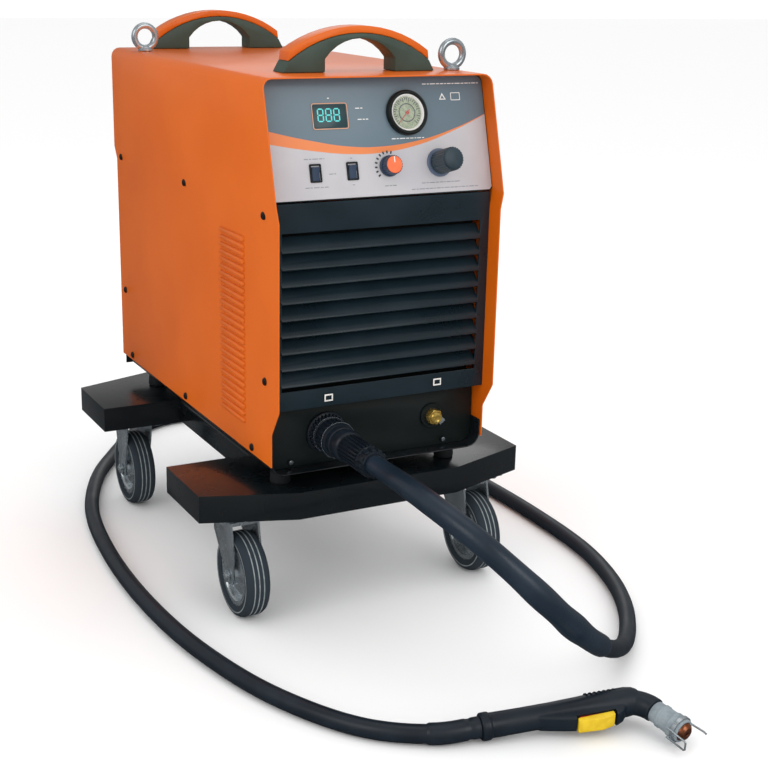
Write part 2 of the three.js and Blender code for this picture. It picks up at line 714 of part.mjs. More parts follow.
/** The torch's panel socket, its coupling ring and the connector on the cable. */
function addConnectors(parent) {
  const panel = faceGroup(parent, [0, connectorY, trayBottom]);
  const socket = turned([
    [0, -20], [spigotRadius - gap, -20], [spigotRadius - gap, gap], [socketRadius, gap],
    [socketRadius, 6], [couplingRadius - 1, socketLength], [0, socketLength],
  ], 24);
  piece(panel, 'torch_socket', socket, finishes.blackPlastic).position.set(...torchSocketAt, 0);
  const ringStart = socketLength + gap;
  const ringEnd = ringStart + couplingLength;
  const bore = spigotRadius + gap;
  const ring = turned([
    [bore, ringStart], [couplingRadius - 1, ringStart], [couplingRadius, ringStart + 3],
    [couplingRadius, ringEnd - 10], [couplingRadius - 2, ringEnd], [bore, ringEnd], [bore, ringStart],
  ], 24);
  piece(panel, 'coupling_ring', ring, finishes.blackPlastic).position.set(...torchSocketAt, 0);
  const shell = turned([
    [0, ringStart], [spigotRadius, ringStart], [spigotRadius, ringEnd + gap],
    [shellRadius + 2, ringEnd + gap], [shellRadius + 2, shellEnd - 76], [shellRadius, shellEnd - 74],
    [shellRadius - 1.5, shellEnd - 18], [shellRadius, shellEnd - 16], [shellRadius, shellEnd], [0, shellEnd],
  ], 24);
  piece(panel, 'torch_connector', shell, finishes.blackPlastic).position.set(...torchSocketAt, 0);
  const stud = carve([bar(workStudRadius, 4 + gap, 14, 6), bar(7, 13, 22, 16)]);
  piece(panel, 'work_stud', stud, finishes.brass).position.set(...workSocketAt, 0);
}

// ---------------------------------------------------------------- rear fittings and insides

/** Fan rotor: a hub with pitched blades. */
function fanRotor() {
  const blades = Array.from({ length: 7 }, (_, i) => {
    const blade = box([fanRadius - 16, 30, 2]).rotateX(0.6).translate((fanRadius + 16) / 2, 0, 0);
    return blade.rotateZ((i * 2 * Math.PI) / 7);
  });
  return carve([bar(24, -12, 12, 20), ...blades]);
}

/** Heat sink: a base plate with fins along it. */
function heatSink() {
  const fins = 9;
  const width = 150;
  const height = 60;
  const foot = 8;
  const pitch = (width - 3) / (fins - 1);
  const outline = [[0, 0], [width, 0]];
  for (let i = fins - 1; i >= 0; i -= 1) {
    const x = i * pitch;
    outline.push([x + 3, height], [x, height]);
    if (i > 0) outline.push([x, foot], [x - pitch + 3, foot]);
  }
  return prismAlongY(outline, -120, 120).translate(-width / 2, 0, 0);
}

/** Transformer: a laminated core with a winding round its middle limb. */
function transformer() {
  return carve([box([120, 46, 100], [0, 0, 50]), box([66, 86, 70], [0, 0, 50])]);
}

/** Fan, mains switch lever, cable gland and the main inner assemblies. */
function addRearAndInsides(parent) {
  const rear = faceGroup(parent, [0, rearFaceY, trayBottom], Math.PI);
  piece(rear, 'fan_rotor', fanRotor(), finishes.blackPlastic).position.set(...fanAt, -20);
  const lever = carve([
    bar(5, -5, 5, 16).rotateY(Math.PI / 2), box([10, 7, 18], [0, 0, 12]),
  ]);
  const leverMesh = piece(rear, 'mains_switch_lever', lever, finishes.blackPlastic);
  leverMesh.position.set(...switchAt, switchSize[2] - 1);
  leverMesh.rotation.x = THREE.MathUtils.degToRad(35);
  const gland = turned([
    [0, -8], [glandRadius - 4 - gap, -8], [glandRadius - 4 - gap, 2 + gap], [glandRadius, 2 + gap],
    [glandRadius, 12], [glandRadius - 2, 22], [8, 24], [8, 4], [0, 4],
  ], 20);
  piece(rear, 'mains_cable_gland', gland, finishes.rubber).position.set(...glandAt, 0);
  const floor = trayBottom + sheet + gap;
  piece(parent, 'transformer', transformer(), finishes.copperWinding).position.set(60, 210, floor);
  piece(parent, 'heat_sink', heatSink(), finishes.aluminium).position.set(0, 0, floor);
}

// ---------------------------------------------------------------- torch and cable

/** The torch group, drawn with its handle along +X and its trigger underneath. */
function addTorch(parent) {
  const torch = new THREE.Group();
  torch.position.set(...torchAt);
  torch.rotation.set(...torchTurn, 'ZYX');
  parent.add(torch);

  const barrel = turned([
    [0, 0], [torchRadius - 1, 0], [torchRadius, 2], [torchRadius, 11], [torchRadius - 1.8, 13],
    [torchRadius - 2, 90], [torchRadius, 150], [torchRadius + 1, 192], [torchRadius - 3, 204], [0, 208],
  ], 20).rotateY(Math.PI / 2);
  const guard = prism([
    [70, -8], [70, -14], [104, -23], [flapStart - 2, -25], [flapStart - 2, -19.5],
    [flapEnd + 2.2, -19.5], [flapEnd + 2.2, -27], [179, -22], [192, -8],
  ], 24).rotateX(Math.PI / 2).translate(0, 12, 0);
  const bend = new THREE.QuadraticBezierCurve3(
    new THREE.Vector3(handleLength - 24, 0, 0), new THREE.Vector3(handleLength, 0, 0),
    new THREE.Vector3(handleLength + 26 * Math.cos(headBend), 0, -26 * Math.sin(headBend)),
  );
  const round = new THREE.Shape().absarc(0, 0, 15.5, 0, 2 * Math.PI);
  const neck = new THREE.ExtrudeGeometry(round, {
    extrudePath: bend, steps: 6, curveSegments: 8, bevelEnabled: false,
  });
  const pocket = box([flapEnd - flapStart + 1, 16.6, 14], [(flapStart + flapEnd) / 2, 0, -17]);
  piece(torch, 'torch_handle', carve([barrel, guard, neck], [pocket]), finishes.blackPlastic);

  const trigger = prism([[122, -21.2], [152, -19.6], [152, -14.5], [122, -14.5]], 15)
    .rotateX(Math.PI / 2).translate(0, 7.5, 0);
  piece(torch, 'torch_trigger', trigger, finishes.triggerRed);
  const flap = prism([
    [flapStart, -22.2], [flapEnd, -20.2], [flapEnd, -27], [150, -31], [flapStart, -29],
  ], 20).rotateX(Math.PI / 2).translate(0, 10, 0);
  piece(torch, 'torch_safety_flap', flap, finishes.flapYellow);

  const head = new THREE.Group();
  head.position.set(handleLength, 0, 0);
  head.rotation.y = Math.PI / 2 + headBend;
  torch.add(head);
  const cupStart = 26 + gap;
  const seat = headLength - 18;
  const cup = turned([
    [0, cupStart], [13.5, cupStart], [14, 42], [15.5, 54], [16, headLength - 6],
    [12.5, headLength - 6], [12.5, seat], [0, seat],
  ], 20);
  piece(head, 'shield_cup', cup, finishes.ceramicGrey);
  const nozzle = turned([
    [0, seat + gap], [12, seat + gap], [12, headLength - 5], [8, headLength], [2.5, headLength],
    [2.5, headLength - 6], [0, headLength - 6],
  ], 20);
  piece(head, 'nozzle', nozzle, finishes.copper);
}

/** The torch cable, one plain tube along its route. */
function addCable(parent) {
  const points = cableRoute.map((point) => new THREE.Vector3(...point));
  const route = new THREE.CatmullRomCurve3(points, false, 'centripetal');
  const section = new THREE.Shape();
  for (let i = 0; i < cableSides; i += 1) {
    const angle = (2 * Math.PI * i) / cableSides;
    const corner = [cableRadius * Math.cos(angle), cableRadius * Math.sin(angle)];
    if (i) section.lineTo(...corner);
    else section.moveTo(...corner);
  }
  const tube = new THREE.ExtrudeGeometry(section, {
    extrudePath: route, steps: cableSteps, bevelEnabled: false,
  });
  piece(parent, 'torch_cable', tube, finishes.cableRubber);
}

// ---------------------------------------------------------------- whole object
const plasmaCutter = new THREE.Group();
const machine = new THREE.Group();
machine.position.y = machineY;
plasmaCutter.add(machine);
addTrolley(machine);
addHousing(machine);
addFascia(machine);
addConnectors(machine);
addRearAndInsides(machine);
addTorch(plasmaCutter);
addCable(plasmaCutter);

export default plasmaCutter;
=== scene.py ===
"""Plasma cutter unit: a power source on a castor trolley, with its torch and torch cable.

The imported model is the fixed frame. Pieces are modelled in millimetres in that frame (+Z up, front
facing -Y, floor at z = 0) and stored in metres.
"""

import json
import logging
import math
from dataclasses import dataclass
from enum import Enum

import bmesh
import bpy
from mathutils import Matrix, Vector


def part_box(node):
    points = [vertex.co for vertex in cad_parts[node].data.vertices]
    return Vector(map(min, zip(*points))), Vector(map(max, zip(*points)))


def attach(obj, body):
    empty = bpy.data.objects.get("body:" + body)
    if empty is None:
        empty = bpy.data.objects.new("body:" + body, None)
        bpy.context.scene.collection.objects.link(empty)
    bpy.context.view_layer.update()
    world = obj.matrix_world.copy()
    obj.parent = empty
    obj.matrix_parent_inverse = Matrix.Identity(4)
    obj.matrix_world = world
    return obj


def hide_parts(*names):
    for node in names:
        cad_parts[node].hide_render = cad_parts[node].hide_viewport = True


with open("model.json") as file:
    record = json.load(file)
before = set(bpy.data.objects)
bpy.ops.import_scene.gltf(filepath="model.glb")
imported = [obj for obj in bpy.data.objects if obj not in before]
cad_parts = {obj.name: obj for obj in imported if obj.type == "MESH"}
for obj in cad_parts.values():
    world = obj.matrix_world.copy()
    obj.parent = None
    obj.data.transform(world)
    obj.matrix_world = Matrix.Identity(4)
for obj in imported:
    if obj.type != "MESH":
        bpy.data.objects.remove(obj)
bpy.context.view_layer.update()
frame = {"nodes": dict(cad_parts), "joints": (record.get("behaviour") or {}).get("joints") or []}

MM = 0.001
ROOT = "root"
log = logging.getLogger("plasma_cutter")


class Side(Enum):
    """Left and right of someone who faces the controls."""

    LEFT = -1
    RIGHT = 1


class Axis(Enum):
    """Directions that turned and drilled pieces point along."""

    X = (1, 0, 0)
    Y = (0, 1, 0)
    Z = (0, 0, 1)
    FRONT = (0, -1, 0)
    DOWN = (0, 0, -1)


def node_box(node: str) -> tuple[Vector, Vector]:
    """Lowest and highest corner of a frame node, in millimetres.

    Args:
        node: Name of the node.

    Returns:
        The two corners.
    """
    low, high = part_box(node)
    return low / MM, high / MM


def middle(node: str) -> Vector:
    """Middle of a frame node's box, in millimetres.

    Args:
        node: Name of the node.

    Returns:
        The middle point.
    """
    low, high = node_box(node)
    return (low + high) / 2


def facing(direction: Vector, place: Vector, spin: float = 0.0) -> Matrix:
    """Placement that turns local +Z to a direction, in millimetres.

    Args:
        direction: Where local +Z points afterwards.
        place: Where the local origin goes.
        spin: Turn about the local axis first, in radians.

    Returns:
        The placement matrix.
    """
    turn = Vector(direction).to_track_quat("Z", "Y").to_matrix().to_4x4()
    return Matrix.Translation(Vector(place)) @ turn @ Matrix.Rotation(spin, 4, "Z")


# ---------------------------------------------------------------- finishes


def linear(hex_colour: str) -> tuple[float, float, float, float]:
    """Turns an sRGB hex colour into linear RGBA.

    Args:
        hex_colour: Colour such as "DE6C2E".

    Returns:
        Linear red, green, blue and an alpha of 1.
    """
    channels = [int(hex_colour[i : i + 2], 16) / 255 for i in (0, 2, 4)]
    return (*(c / 12.92 if c <= 0.04045 else ((c + 0.055) / 1.055) ** 2.4 for c in channels), 1.0)


def add_node(tree: bpy.types.NodeTree, kind: str, inputs: dict | None = None, **settings) -> bpy.types.Node:
    """Adds a shader node with its settings, constants and links.

    Args:
        tree: Node tree of the material.
        kind: Node type, without the ShaderNode prefix.
        inputs: Constants or output sockets, by the name or number of the input they go to.
        **settings: Attributes of the node.

    Returns:
        The new node.
    """
    node = tree.nodes.new("ShaderNode" + kind)
    for name, value in settings.items():
        setattr(node, name, value)
    for name, value in (inputs or {}).items():
        if isinstance(value, bpy.types.NodeSocket):
            tree.links.new(value, node.inputs[name])
        else:
            node.inputs[name].default_value = value
    return node


@dataclass(frozen=True)
class Finish:
    """A surface with mottled colour, uneven gloss and a fine relief.

    Attributes:
        name: Name of the material.
        slot: Material slot of the record; not used.
        colour: Main colour, sRGB hex.
        shade: Second colour, sRGB hex, that mottles the first.
        mottle_mm: Size of the mottling.
        roughness: Lowest roughness.
        uneven: Added to the roughness where the surface is dull.
        grain_mm: Size of the relief.
        relief: Strength of the relief.
        metallic: 0 for paint and plastic, 1 for bare metal.
        coat: Weight of a clear top layer.
        coat_roughness: Roughness of that layer.
        ior: Index of refraction; metals keep the default.
    """

    name: str
    slot: str
    colour: str
    shade: str
    mottle_mm: float = 60.0
    roughness: float = 0.4
    uneven: float = 0.1
    grain_mm: float = 1.0
    relief: float = 0.1
    metallic: float = 0.0
    coat: float = 0.0
    coat_roughness: float = 0.1
    ior: float = 1.5

    def material(self) -> bpy.types.Material:
        """Makes the material once and returns it."""
        known = bpy.data.materials.get(self.name)
        if known:
            return known
        material = bpy.data.materials.new(self.name)
        material.use_nodes = True
        self.build(material.node_tree, material.node_tree.nodes["Principled BSDF"])
        return material

    def build(self, tree: bpy.types.NodeTree, shader: bpy.types.Node) -> None:
        """Wires the mottling, the gloss and the relief into the shader.

        Args:
            tree: Node tree of the material.
            shader: Its Principled BSDF.
        """
        place = add_node(tree, "TexCoord").outputs["Object"]
        cloud = add_node(tree, "TexNoise", {"Vector": place, "Scale": 1 / (self.mottle_mm * MM),
                                            "Detail": 4.0})
        tree.links.new(self.paint(tree, place, cloud.outputs["Fac"]), shader.inputs["Base Color"])
        gloss = add_node(tree, "MapRange", {
            "Value": cloud.outputs["Fac"], "From Min": 0.35, "From Max": 0.65,
            "To Min": self.roughness, "To Max": self.roughness + self.uneven,
        })
        tree.links.new(gloss.outputs["Result"], shader.inputs["Roughness"])
        tree.links.new(self.carve(tree, place), shader.inputs["Normal"])
        shader.inputs["Metallic"].default_value = self.metallic
        shader.inputs["Coat Weight"].default_value = self.coat
        shader.inputs["Coat Roughness"].default_value = self.coat_roughness
        shader.inputs["IOR"].default_value = self.ior

    def paint(self, tree: bpy.types.NodeTree, place: bpy.types.NodeSocket,
              cloud: bpy.types.NodeSocket) -> bpy.types.NodeSocket:
        """Colours the surface.

        Args:
            tree: Node tree of the material.
            place: Object coordinates.
            cloud: Slow noise from 0 to 1.

        Returns:
            The colour socket.
        """
        ramp = add_node(tree, "ValToRGB", {"Fac": cloud})
        ramp.color_ramp.elements[0].position, ramp.color_ramp.elements[1].position = 0.38, 0.62
        ramp.color_ramp.elements[0].color = linear(self.shade)
        ramp.color_ramp.elements[1].color = linear(self.colour)
        return ramp.outputs["Color"]

    def carve(self, tree: bpy.types.NodeTree, place: bpy.types.NodeSocket) -> bpy.types.NodeSocket:
        """Gives the surface its relief.

        Args:
            tree: Node tree of the material.
            place: Object coordinates.

        Returns:
            The normal socket.
        """
        grain = add_node(tree, "TexNoise", {"Vector": place, "Scale": 1 / (self.grain_mm * MM),
                                            "Detail": 2.0})
        bump = add_node(tree, "Bump", {
            "Height": grain.outputs["Fac"], "Strength": self.relief, "Distance": self.grain_mm * MM,
        })
        return bump.outputs["Normal"]


# powder coat, gloss: thick film with a faint orange-peel ripple
ORANGE_ENAMEL = Finish("orange_powder_coat", "orange_enamel", "D9650E", "D3600C", 180, 0.32, 0.05, 2.2,
                       0.04, coat=0.12, coat_roughness=0.12, ior=1.36)
BLACK_ENAMEL = Finish("black_powder_coat", "black_enamel", "12181B", "0F1417", 120, 0.24, 0.08, 1.8, 0.05,
                      coat=0.4, coat_roughness=0.12)
# ABS from an etched mould: dull, with a fine leathery grain
BLACK_ABS = Finish("textured_black_abs", "black_plastic", "141D1D", "111918", 90, 0.42, 0.08, 0.9, 0.14,
                   ior=1.4)
HANDLE_ABS = Finish("textured_grey_green_abs", "handle_plastic", "3E5248", "37493F", 60, 0.4, 0.1, 0.8,
                    0.15)
# glass-filled nylon: smoother, slightly blue
BLUE_NYLON = Finish("blue_black_nylon", "knob_plastic", "2E4059", "28384F", 30, 0.36, 0.08, 0.6, 0.1)
ORANGE_CAP = Finish("orange_knob_cap", "knob_plastic", "F0703C", "E96633", 12, 0.35, 0.05, 0.5, 0.05)
TORCH_NYLON = Finish("torch_nylon", "black_plastic", "15212C", "111B25", 35, 0.34, 0.12, 0.9, 0.12)
# bright zinc plate on steel: bluish, clouded where it was handled
ZINC = Finish("bright_zinc_plate", "zinc_steel", "D2DBE0", "C4CED4", 40, 0.22, 0.06, 0.6, 0.02,
              metallic=0.86)
ZINC_SCREW = Finish("zinc_screw", "zinc_steel", "B9C0C4", "9AA3A8", 3, 0.22, 0.12, 0.4, 0.05, metallic=1.0)
BLACK_SCREW = Finish("black_oxide_screw", "black_enamel", "171A1C", "101213", 4, 0.35, 0.1, 0.5, 0.08)
# vulcanised rubber: matt, slightly dusty
TYRE = Finish("tyre_rubber", "tyre_rubber", "232C34", "1B232A", 25, 0.52, 0.15, 0.8, 0.15)
TYRE_LINE = Finish("grey_rubber_line", "tyre_rubber", "98A0A2", "7D8587", 10, 0.55, 0.1, 0.6, 0.1)
FOOT_RUBBER = Finish("foot_rubber", "black_rubber", "1A1F22", "14181B", 20, 0.55, 0.12, 0.8, 0.15)
LOUVRE_ABS = Finish("blue_black_abs", "black_plastic", "182830", "132128", 90, 0.26, 0.08, 0.9, 0.1,
                    ior=1.5)
CABLE = Finish("cable_sheath", "cable_rubber", "16222E", "121C26", 45, 0.34, 0.14, 1.2, 0.1, coat=0.15,
               coat_roughness=0.3)
SLEEVE = Finish("shrink_sleeve", "cable_rubber", "1D2C3B", "172431", 60, 0.3, 0.1, 3.0, 0.12, coat=0.2,
                coat_roughness=0.25)
BRASS = Finish("turned_brass", "brass", "E6C46C", "D9B358", 12, 0.22, 0.06, 0.3, 0.03, metallic=0.8)
COPPER = Finish("turned_copper", "copper", "C98260", "A9603D", 5, 0.26, 0.16, 0.3, 0.06, metallic=1.0)
ALUMINIUM = Finish("extruded_aluminium", "aluminium", "B9BDC0", "A3A8AB", 20, 0.3, 0.12, 0.5, 0.08,
                   metallic=1.0)
NEEDLE_RED = Finish("needle_paint", "needle_red", "B8301F", "A82818", 6, 0.4, 0.05, 0.3, 0.03)
TRIGGER_RED = Finish("trigger_red_abs", "trigger_red", "D9362A", "C92D22", 10, 0.3, 0.08, 0.5, 0.06)
FLAP_YELLOW = Finish("flap_yellow_abs", "flap_yellow", "E8C41C", "DDB716", 10, 0.32, 0.08, 0.5, 0.06)
# fired ceramic: chalky, with a slight sparkle of grain
CUP_GREY = Finish("fired_ceramic", "cup_ceramic", "8F9AA0", "7F8A91", 8, 0.45, 0.15, 0.5, 0.14)
CORE = Finish("varnished_core", "core_steel", "6E3B22", "5A2E1A", 8, 0.4, 0.15, 1.5, 0.25)
WINDING = Finish("copper_winding", "core_steel", "B4673A", "9A5228", 4, 0.35, 0.15, 1.2, 0.4)
CIRCUIT_GREEN = Finish("solder_mask", "black_plastic", "1D5B3A", "174C30", 20, 0.3, 0.1, 1.0, 0.08)
SMOKED = Finish("smoked_window", "smoked_window", "667E87", "5E7780", 30, 0.12, 0.03, 5.0, 0.0)
PRINT_WHITE = Finish("pale_print", "label_film", "E9E6E2", "E2DFDB", 30, 0.4, 0.05, 1.0, 0.02)
PRINT_DARK = Finish("dark_print", "label_film", "31373B", "2B3135", 30, 0.4, 0.05, 1.0, 0.02)
PRINT_ORANGE = Finish("orange_print", "label_film", "DFA37C", "D89A72", 30, 0.4, 0.05, 1.0, 0.02)
DIAL_FACE = Finish("dial_enamel", "label_film", "9AA486", "7E8A6C", 5, 0.35, 0.05, 1.0, 0.02)
FILTER_FOAM = Finish("open_cell_foam", "black_rubber", "0F1414", "0B0F10", 6, 0.8, 0.1, 2.0, 0.6)


@dataclass(frozen=True)
class Glow(Finish):
    """A lit segment behind a window."""

    strength: float = 1.2

    def build(self, tree: bpy.types.NodeTree, shader: bpy.types.Node) -> None:
        """Adds light of the finish's own colour.

        Args:
            tree: Node tree of the material.
            shader: Its Principled BSDF.
        """
        super().build(tree, shader)
        shader.inputs["Emission Color"].default_value = linear(self.colour)
        shader.inputs["Emission Strength"].default_value = self.strength


@dataclass(frozen=True)
class Clear(Finish):
    """A clear moulded lens."""

    def build(self, tree: bpy.types.NodeTree, shader: bpy.types.Node) -> None:
        """Makes the finish see-through.

        Args:
            tree: Node tree of the material.
            shader: Its Principled BSDF.
        """
        shader.inputs["Base Color"].default_value = linear(self.colour)
        shader.inputs["Roughness"].default_value = self.roughness
        shader.inputs["IOR"].default_value = self.ior
        shader.inputs["Alpha"].default_value = 0.05


DIGIT = Glow("lit_segment", "smoked_window", "55C8C6", "4FBFBE", 10, 0.3, 0.0, 1.0, 0.0, strength=0.32)
LENS = Clear("clear_lens", "label_film", "F2F6F4", "F2F6F4", roughness=0.04, ior=1.49)


# ---------------------------------------------------------------- bench tools


class Bench:
    """Hand tools that make and shape one mesh at a time. Sizes are in millimetres."""

    @staticmethod
    def pick(*objects: bpy.types.Object) -> None:
        """Selects only these objects; the last is the active one."""
        bpy.ops.object.select_all(action="DESELECT")
        for item in objects:
            item.select_set(True)
        bpy.context.view_layer.objects.active = objects[-1]

    @staticmethod
    def primitive(maker, name: str, **sizes) -> bpy.types.Object:
        """Adds a primitive and names it.

        Args:
            maker: The primitive's operator.
            name: Name of the piece.
            **sizes: Settings of the operator, in metres.

        Returns:
            The new object.
        """
        bpy.ops.object.select_all(action="DESELECT")
        maker(**sizes)
        piece = bpy.context.active_object
        piece.name = piece.data.name = name
        return piece

    @staticmethod
    def place(piece: bpy.types.Object, matrix: Matrix) -> bpy.types.Object:
        """Moves a mesh and leaves its object at the origin.

        Args:
            piece: The mesh object.
            matrix: Placement in millimetres.

        Returns:
            The same object.
        """
        Bench.pick(piece)
        turn = matrix.copy()
        turn.translation = matrix.translation * MM
        piece.matrix_world = turn @ piece.matrix_world
        bpy.ops.object.transform_apply(location=True, rotation=True, scale=True)
        return piece

    @staticmethod
    def block(name: str, low: Vector, high: Vector, soften: float = 0.0) -> bpy.types.Object:
        """A block between two corners, with softened edges.

        Args:
            name: Name of the piece.
            low: Lowest corner.
            high: Highest corner.
            soften: Width of the edge bevel.

        Returns:
            The block.
        """
        low, high = Vector(low), Vector(high)
        piece = Bench.primitive(bpy.ops.mesh.primitive_cube_add, name, size=1.0)
        piece.matrix_world = (Matrix.Translation((low + high) / 2 * MM)
                              @ Matrix.Diagonal((high - low) * MM).to_4x4())
        Bench.pick(piece)
        bpy.ops.object.transform_apply(location=True, rotation=True, scale=True)
        return Bench.soften(piece, soften) if soften else piece

    @staticmethod
    def chain(name: str, points: list[tuple[float, float]]) -> bpy.types.Object:
        """A run of edges in the local XZ plane, drawn point by point; it is left in edit mode.

        Args:
            name: Name of the piece.
            points: (x, z) of each point.

        Returns:
            The object, in edit mode, with its last point selected.
        """
        piece = Bench.primitive(bpy.ops.mesh.primitive_plane_add, name, size=MM)
        bpy.ops.object.mode_set(mode="EDIT")
        bpy.ops.mesh.select_all(action="SELECT")
        bpy.ops.mesh.merge(type="CENTER")
        bpy.ops.transform.translate(value=(points[0][0] * MM, 0, points[0][1] * MM))
        for (x0, z0), (x1, z1) in zip(points, points[1:]):
            bpy.ops.mesh.extrude_vertices_move(
                TRANSFORM_OT_translate={"value": ((x1 - x0) * MM, 0, (z1 - z0) * MM)})
        return piece

    @staticmethod
    def turned(name: str, profile: list[tuple[float, float]], matrix: Matrix, steps: int = 48,
               angle: float = 35.0) -> bpy.types.Object:
        """A turned piece: a (radius, height) profile spun about local Z.

        Args:
            name: Name of the piece.
            profile: Points from axis to axis, or a ring that ends where it starts.
            matrix: Placement of the local frame.
            steps: Steps round the turn.
            angle: Edges sharper than this stay sharp, in degrees.

        Returns:
            The piece.
        """
        piece = Bench.chain(name, profile)
        bpy.ops.mesh.select_all(action="SELECT")
        bpy.ops.mesh.spin(steps=steps, angle=2 * math.pi, center=(0, 0, 0), axis=(0, 0, 1))
        bpy.ops.mesh.select_all(action="SELECT")
        bpy.ops.mesh.remove_doubles(threshold=0.02 * MM)
        bpy.ops.mesh.normals_make_consistent(inside=False)
        bpy.ops.object.mode_set(mode="OBJECT")
        return Bench.smooth(Bench.place(piece, matrix), angle)

    @staticmethod
    def plate(name: str, outline: list[tuple[float, float]], depth: float, matrix: Matrix,
              soften: float = 0.0) -> bpy.types.Object:
        """A plate cut to an outline in the local XZ plane, with its thickness along local +Y.

        Args:
            name: Name of the piece.
            outline: (x, z) of each corner.
            depth: Thickness.
            matrix: Placement of the local frame.
            soften: Width of the edge bevel.

        Returns:
            The plate.
        """
        piece = Bench.chain(name, outline)
        bpy.ops.mesh.select_all(action="SELECT")
        bpy.ops.mesh.edge_face_add()
        bpy.ops.mesh.extrude_region_move(TRANSFORM_OT_translate={"value": (0, depth * MM, 0)})
        bpy.ops.mesh.select_all(action="SELECT")
        bpy.ops.mesh.normals_make_consistent(inside=False)
        bpy.ops.object.mode_set(mode="OBJECT")
        Bench.place(piece, matrix)
        return Bench.soften(piece, soften) if soften else Bench.smooth(piece)

    @staticmethod
    def apply(piece: bpy.types.Object, kind: str, **settings) -> bpy.types.Object:
        """Adds a modifier with its settings and applies it.

        Args:
            piece: The mesh object.
            kind: Type of the modifier.
            **settings: Its attributes, in metres.

        Returns:
            The same object.
        """
        Bench.pick(piece)
        modifier = piece.modifiers.new(kind.lower(), kind)
        for name, value in settings.items():
            setattr(modifier, name, value)
        bpy.ops.object.modifier_apply(modifier=modifier.name)
        return piece

    @staticmethod
    def soften(piece: bpy.types.Object, width: float, segments: int = 2,
               angle: float = 30.0) -> bpy.types.Object:
        """Bevels the sharp edges and shades the piece smooth.

        Args:
            piece: The mesh object.
            width: Width of the bevel.
            segments: Steps across the bevel.
            angle: Edges sharper than this are bevelled, in degrees.

        Returns:
            The same object.
        """
        Bench.apply(piece, "BEVEL", width=width * MM, segments=segments, limit_method="ANGLE",
                    angle_limit=math.radians(angle), harden_normals=False)
        return Bench.smooth(piece)

    @staticmethod
    def smooth(piece: bpy.types.Object, angle: float = 35.0) -> bpy.types.Object:
        """Shades smooth, except over edges sharper than the angle."""
        Bench.pick(piece)
        bpy.ops.object.shade_smooth_by_angle(angle=math.radians(angle))
        return piece

    @staticmethod
    def copied(piece: bpy.types.Object, name: str, matrix: Matrix) -> bpy.types.Object:
        """A copy with a mesh of its own.

        Args:
            piece: What is copied.
            name: Name of the copy.
            matrix: Move of the copy, in millimetres.

        Returns:
            The copy.
        """
        twin = piece.copy()
        twin.data = piece.data.copy()
        twin.name = twin.data.name = name
        bpy.context.scene.collection.objects.link(twin)
        return Bench.place(twin, matrix)

    @staticmethod
    def joined(name: str, pieces: list[bpy.types.Object]) -> bpy.types.Object:
        """Joins meshes that are one piece, or one set of equal fasteners, into one object.

        Args:
            name: Name of the joined piece.
            pieces: The meshes.

        Returns:
            The joined object.
        """
        Bench.pick(*pieces)
        if len(pieces) > 1:
            bpy.ops.object.join()
        whole = bpy.context.active_object
        whole.name = whole.data.name = name
        return whole

    @staticmethod
    def cut(piece: bpy.types.Object, cutter: bpy.types.Object) -> bpy.types.Object:
        """Cuts one closed mesh out of another and throws the cutter away.

        Args:
            piece: What is cut.
            cutter: What cuts it.

        Returns:
            The cut piece.
        """
        Bench.apply(piece, "BOOLEAN", object=cutter, operation="DIFFERENCE", solver="EXACT")
        bpy.data.objects.remove(cutter)
        return piece

    @staticmethod
    def from_node(node: str, soften: float = 0.0, segments: int = 2,
                  angle: float = 30.0) -> bpy.types.Object:
        """A copy of a frame node with its loose faces merged and its edges broken.

        Args:
            node: Name of the node.
            soften: Width of the edge bevel.
            segments: Steps across the bevel.
            angle: Edges sharper than this are bevelled, in degrees.

        Returns:
            The finished copy.
        """
        source = frame["nodes"][node]
        piece = bpy.data.objects.new(node + "_body", source.data.copy())
        piece.data.name = piece.name
        bpy.context.scene.collection.objects.link(piece)
        Bench.pick(piece)
        bpy.ops.object.mode_set(mode="EDIT")
        bpy.ops.mesh.select_all(action="SELECT")
        bpy.ops.mesh.remove_doubles(threshold=0.02 * MM)
        bpy.ops.mesh.dissolve_limited(angle_limit=math.radians(1.0))
        bpy.ops.object.mode_set(mode="OBJECT")
        if soften:
            return Bench.soften(piece, soften, segments, angle)
        return Bench.smooth(piece)


def fit(piece: bpy.types.Object, finish: Finish, body: str = ROOT, stands_for: tuple[str, ...] = (),
        more: tuple[Finish, ...] = ()) -> bpy.types.Object:
    """Dresses a piece and fastens it to its body.

    Args:
        piece: The mesh object.
        finish: Its main finish.
        body: Frame body that it moves with.
        stands_for: Frame nodes that it is shown for.
        more: Finishes of its further material slots.

    Returns:
        The same object.
    """
    piece.data.materials.clear()
    for item in (finish, *more):
        piece.data.materials.append(item.material())
    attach(piece, body)
    if stands_for:
        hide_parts(*stands_for)
    log.info("%s: %s on %s", piece.name, finish.name, body)
    return piece


def dress(node: str, finish: Finish) -> None:
    """Gives a frame node that stays in view its finish."""
    mesh = frame["nodes"][node].data
    mesh.materials.clear()
    mesh.materials.append(finish.material())


# ---------------------------------------------------------------- studio


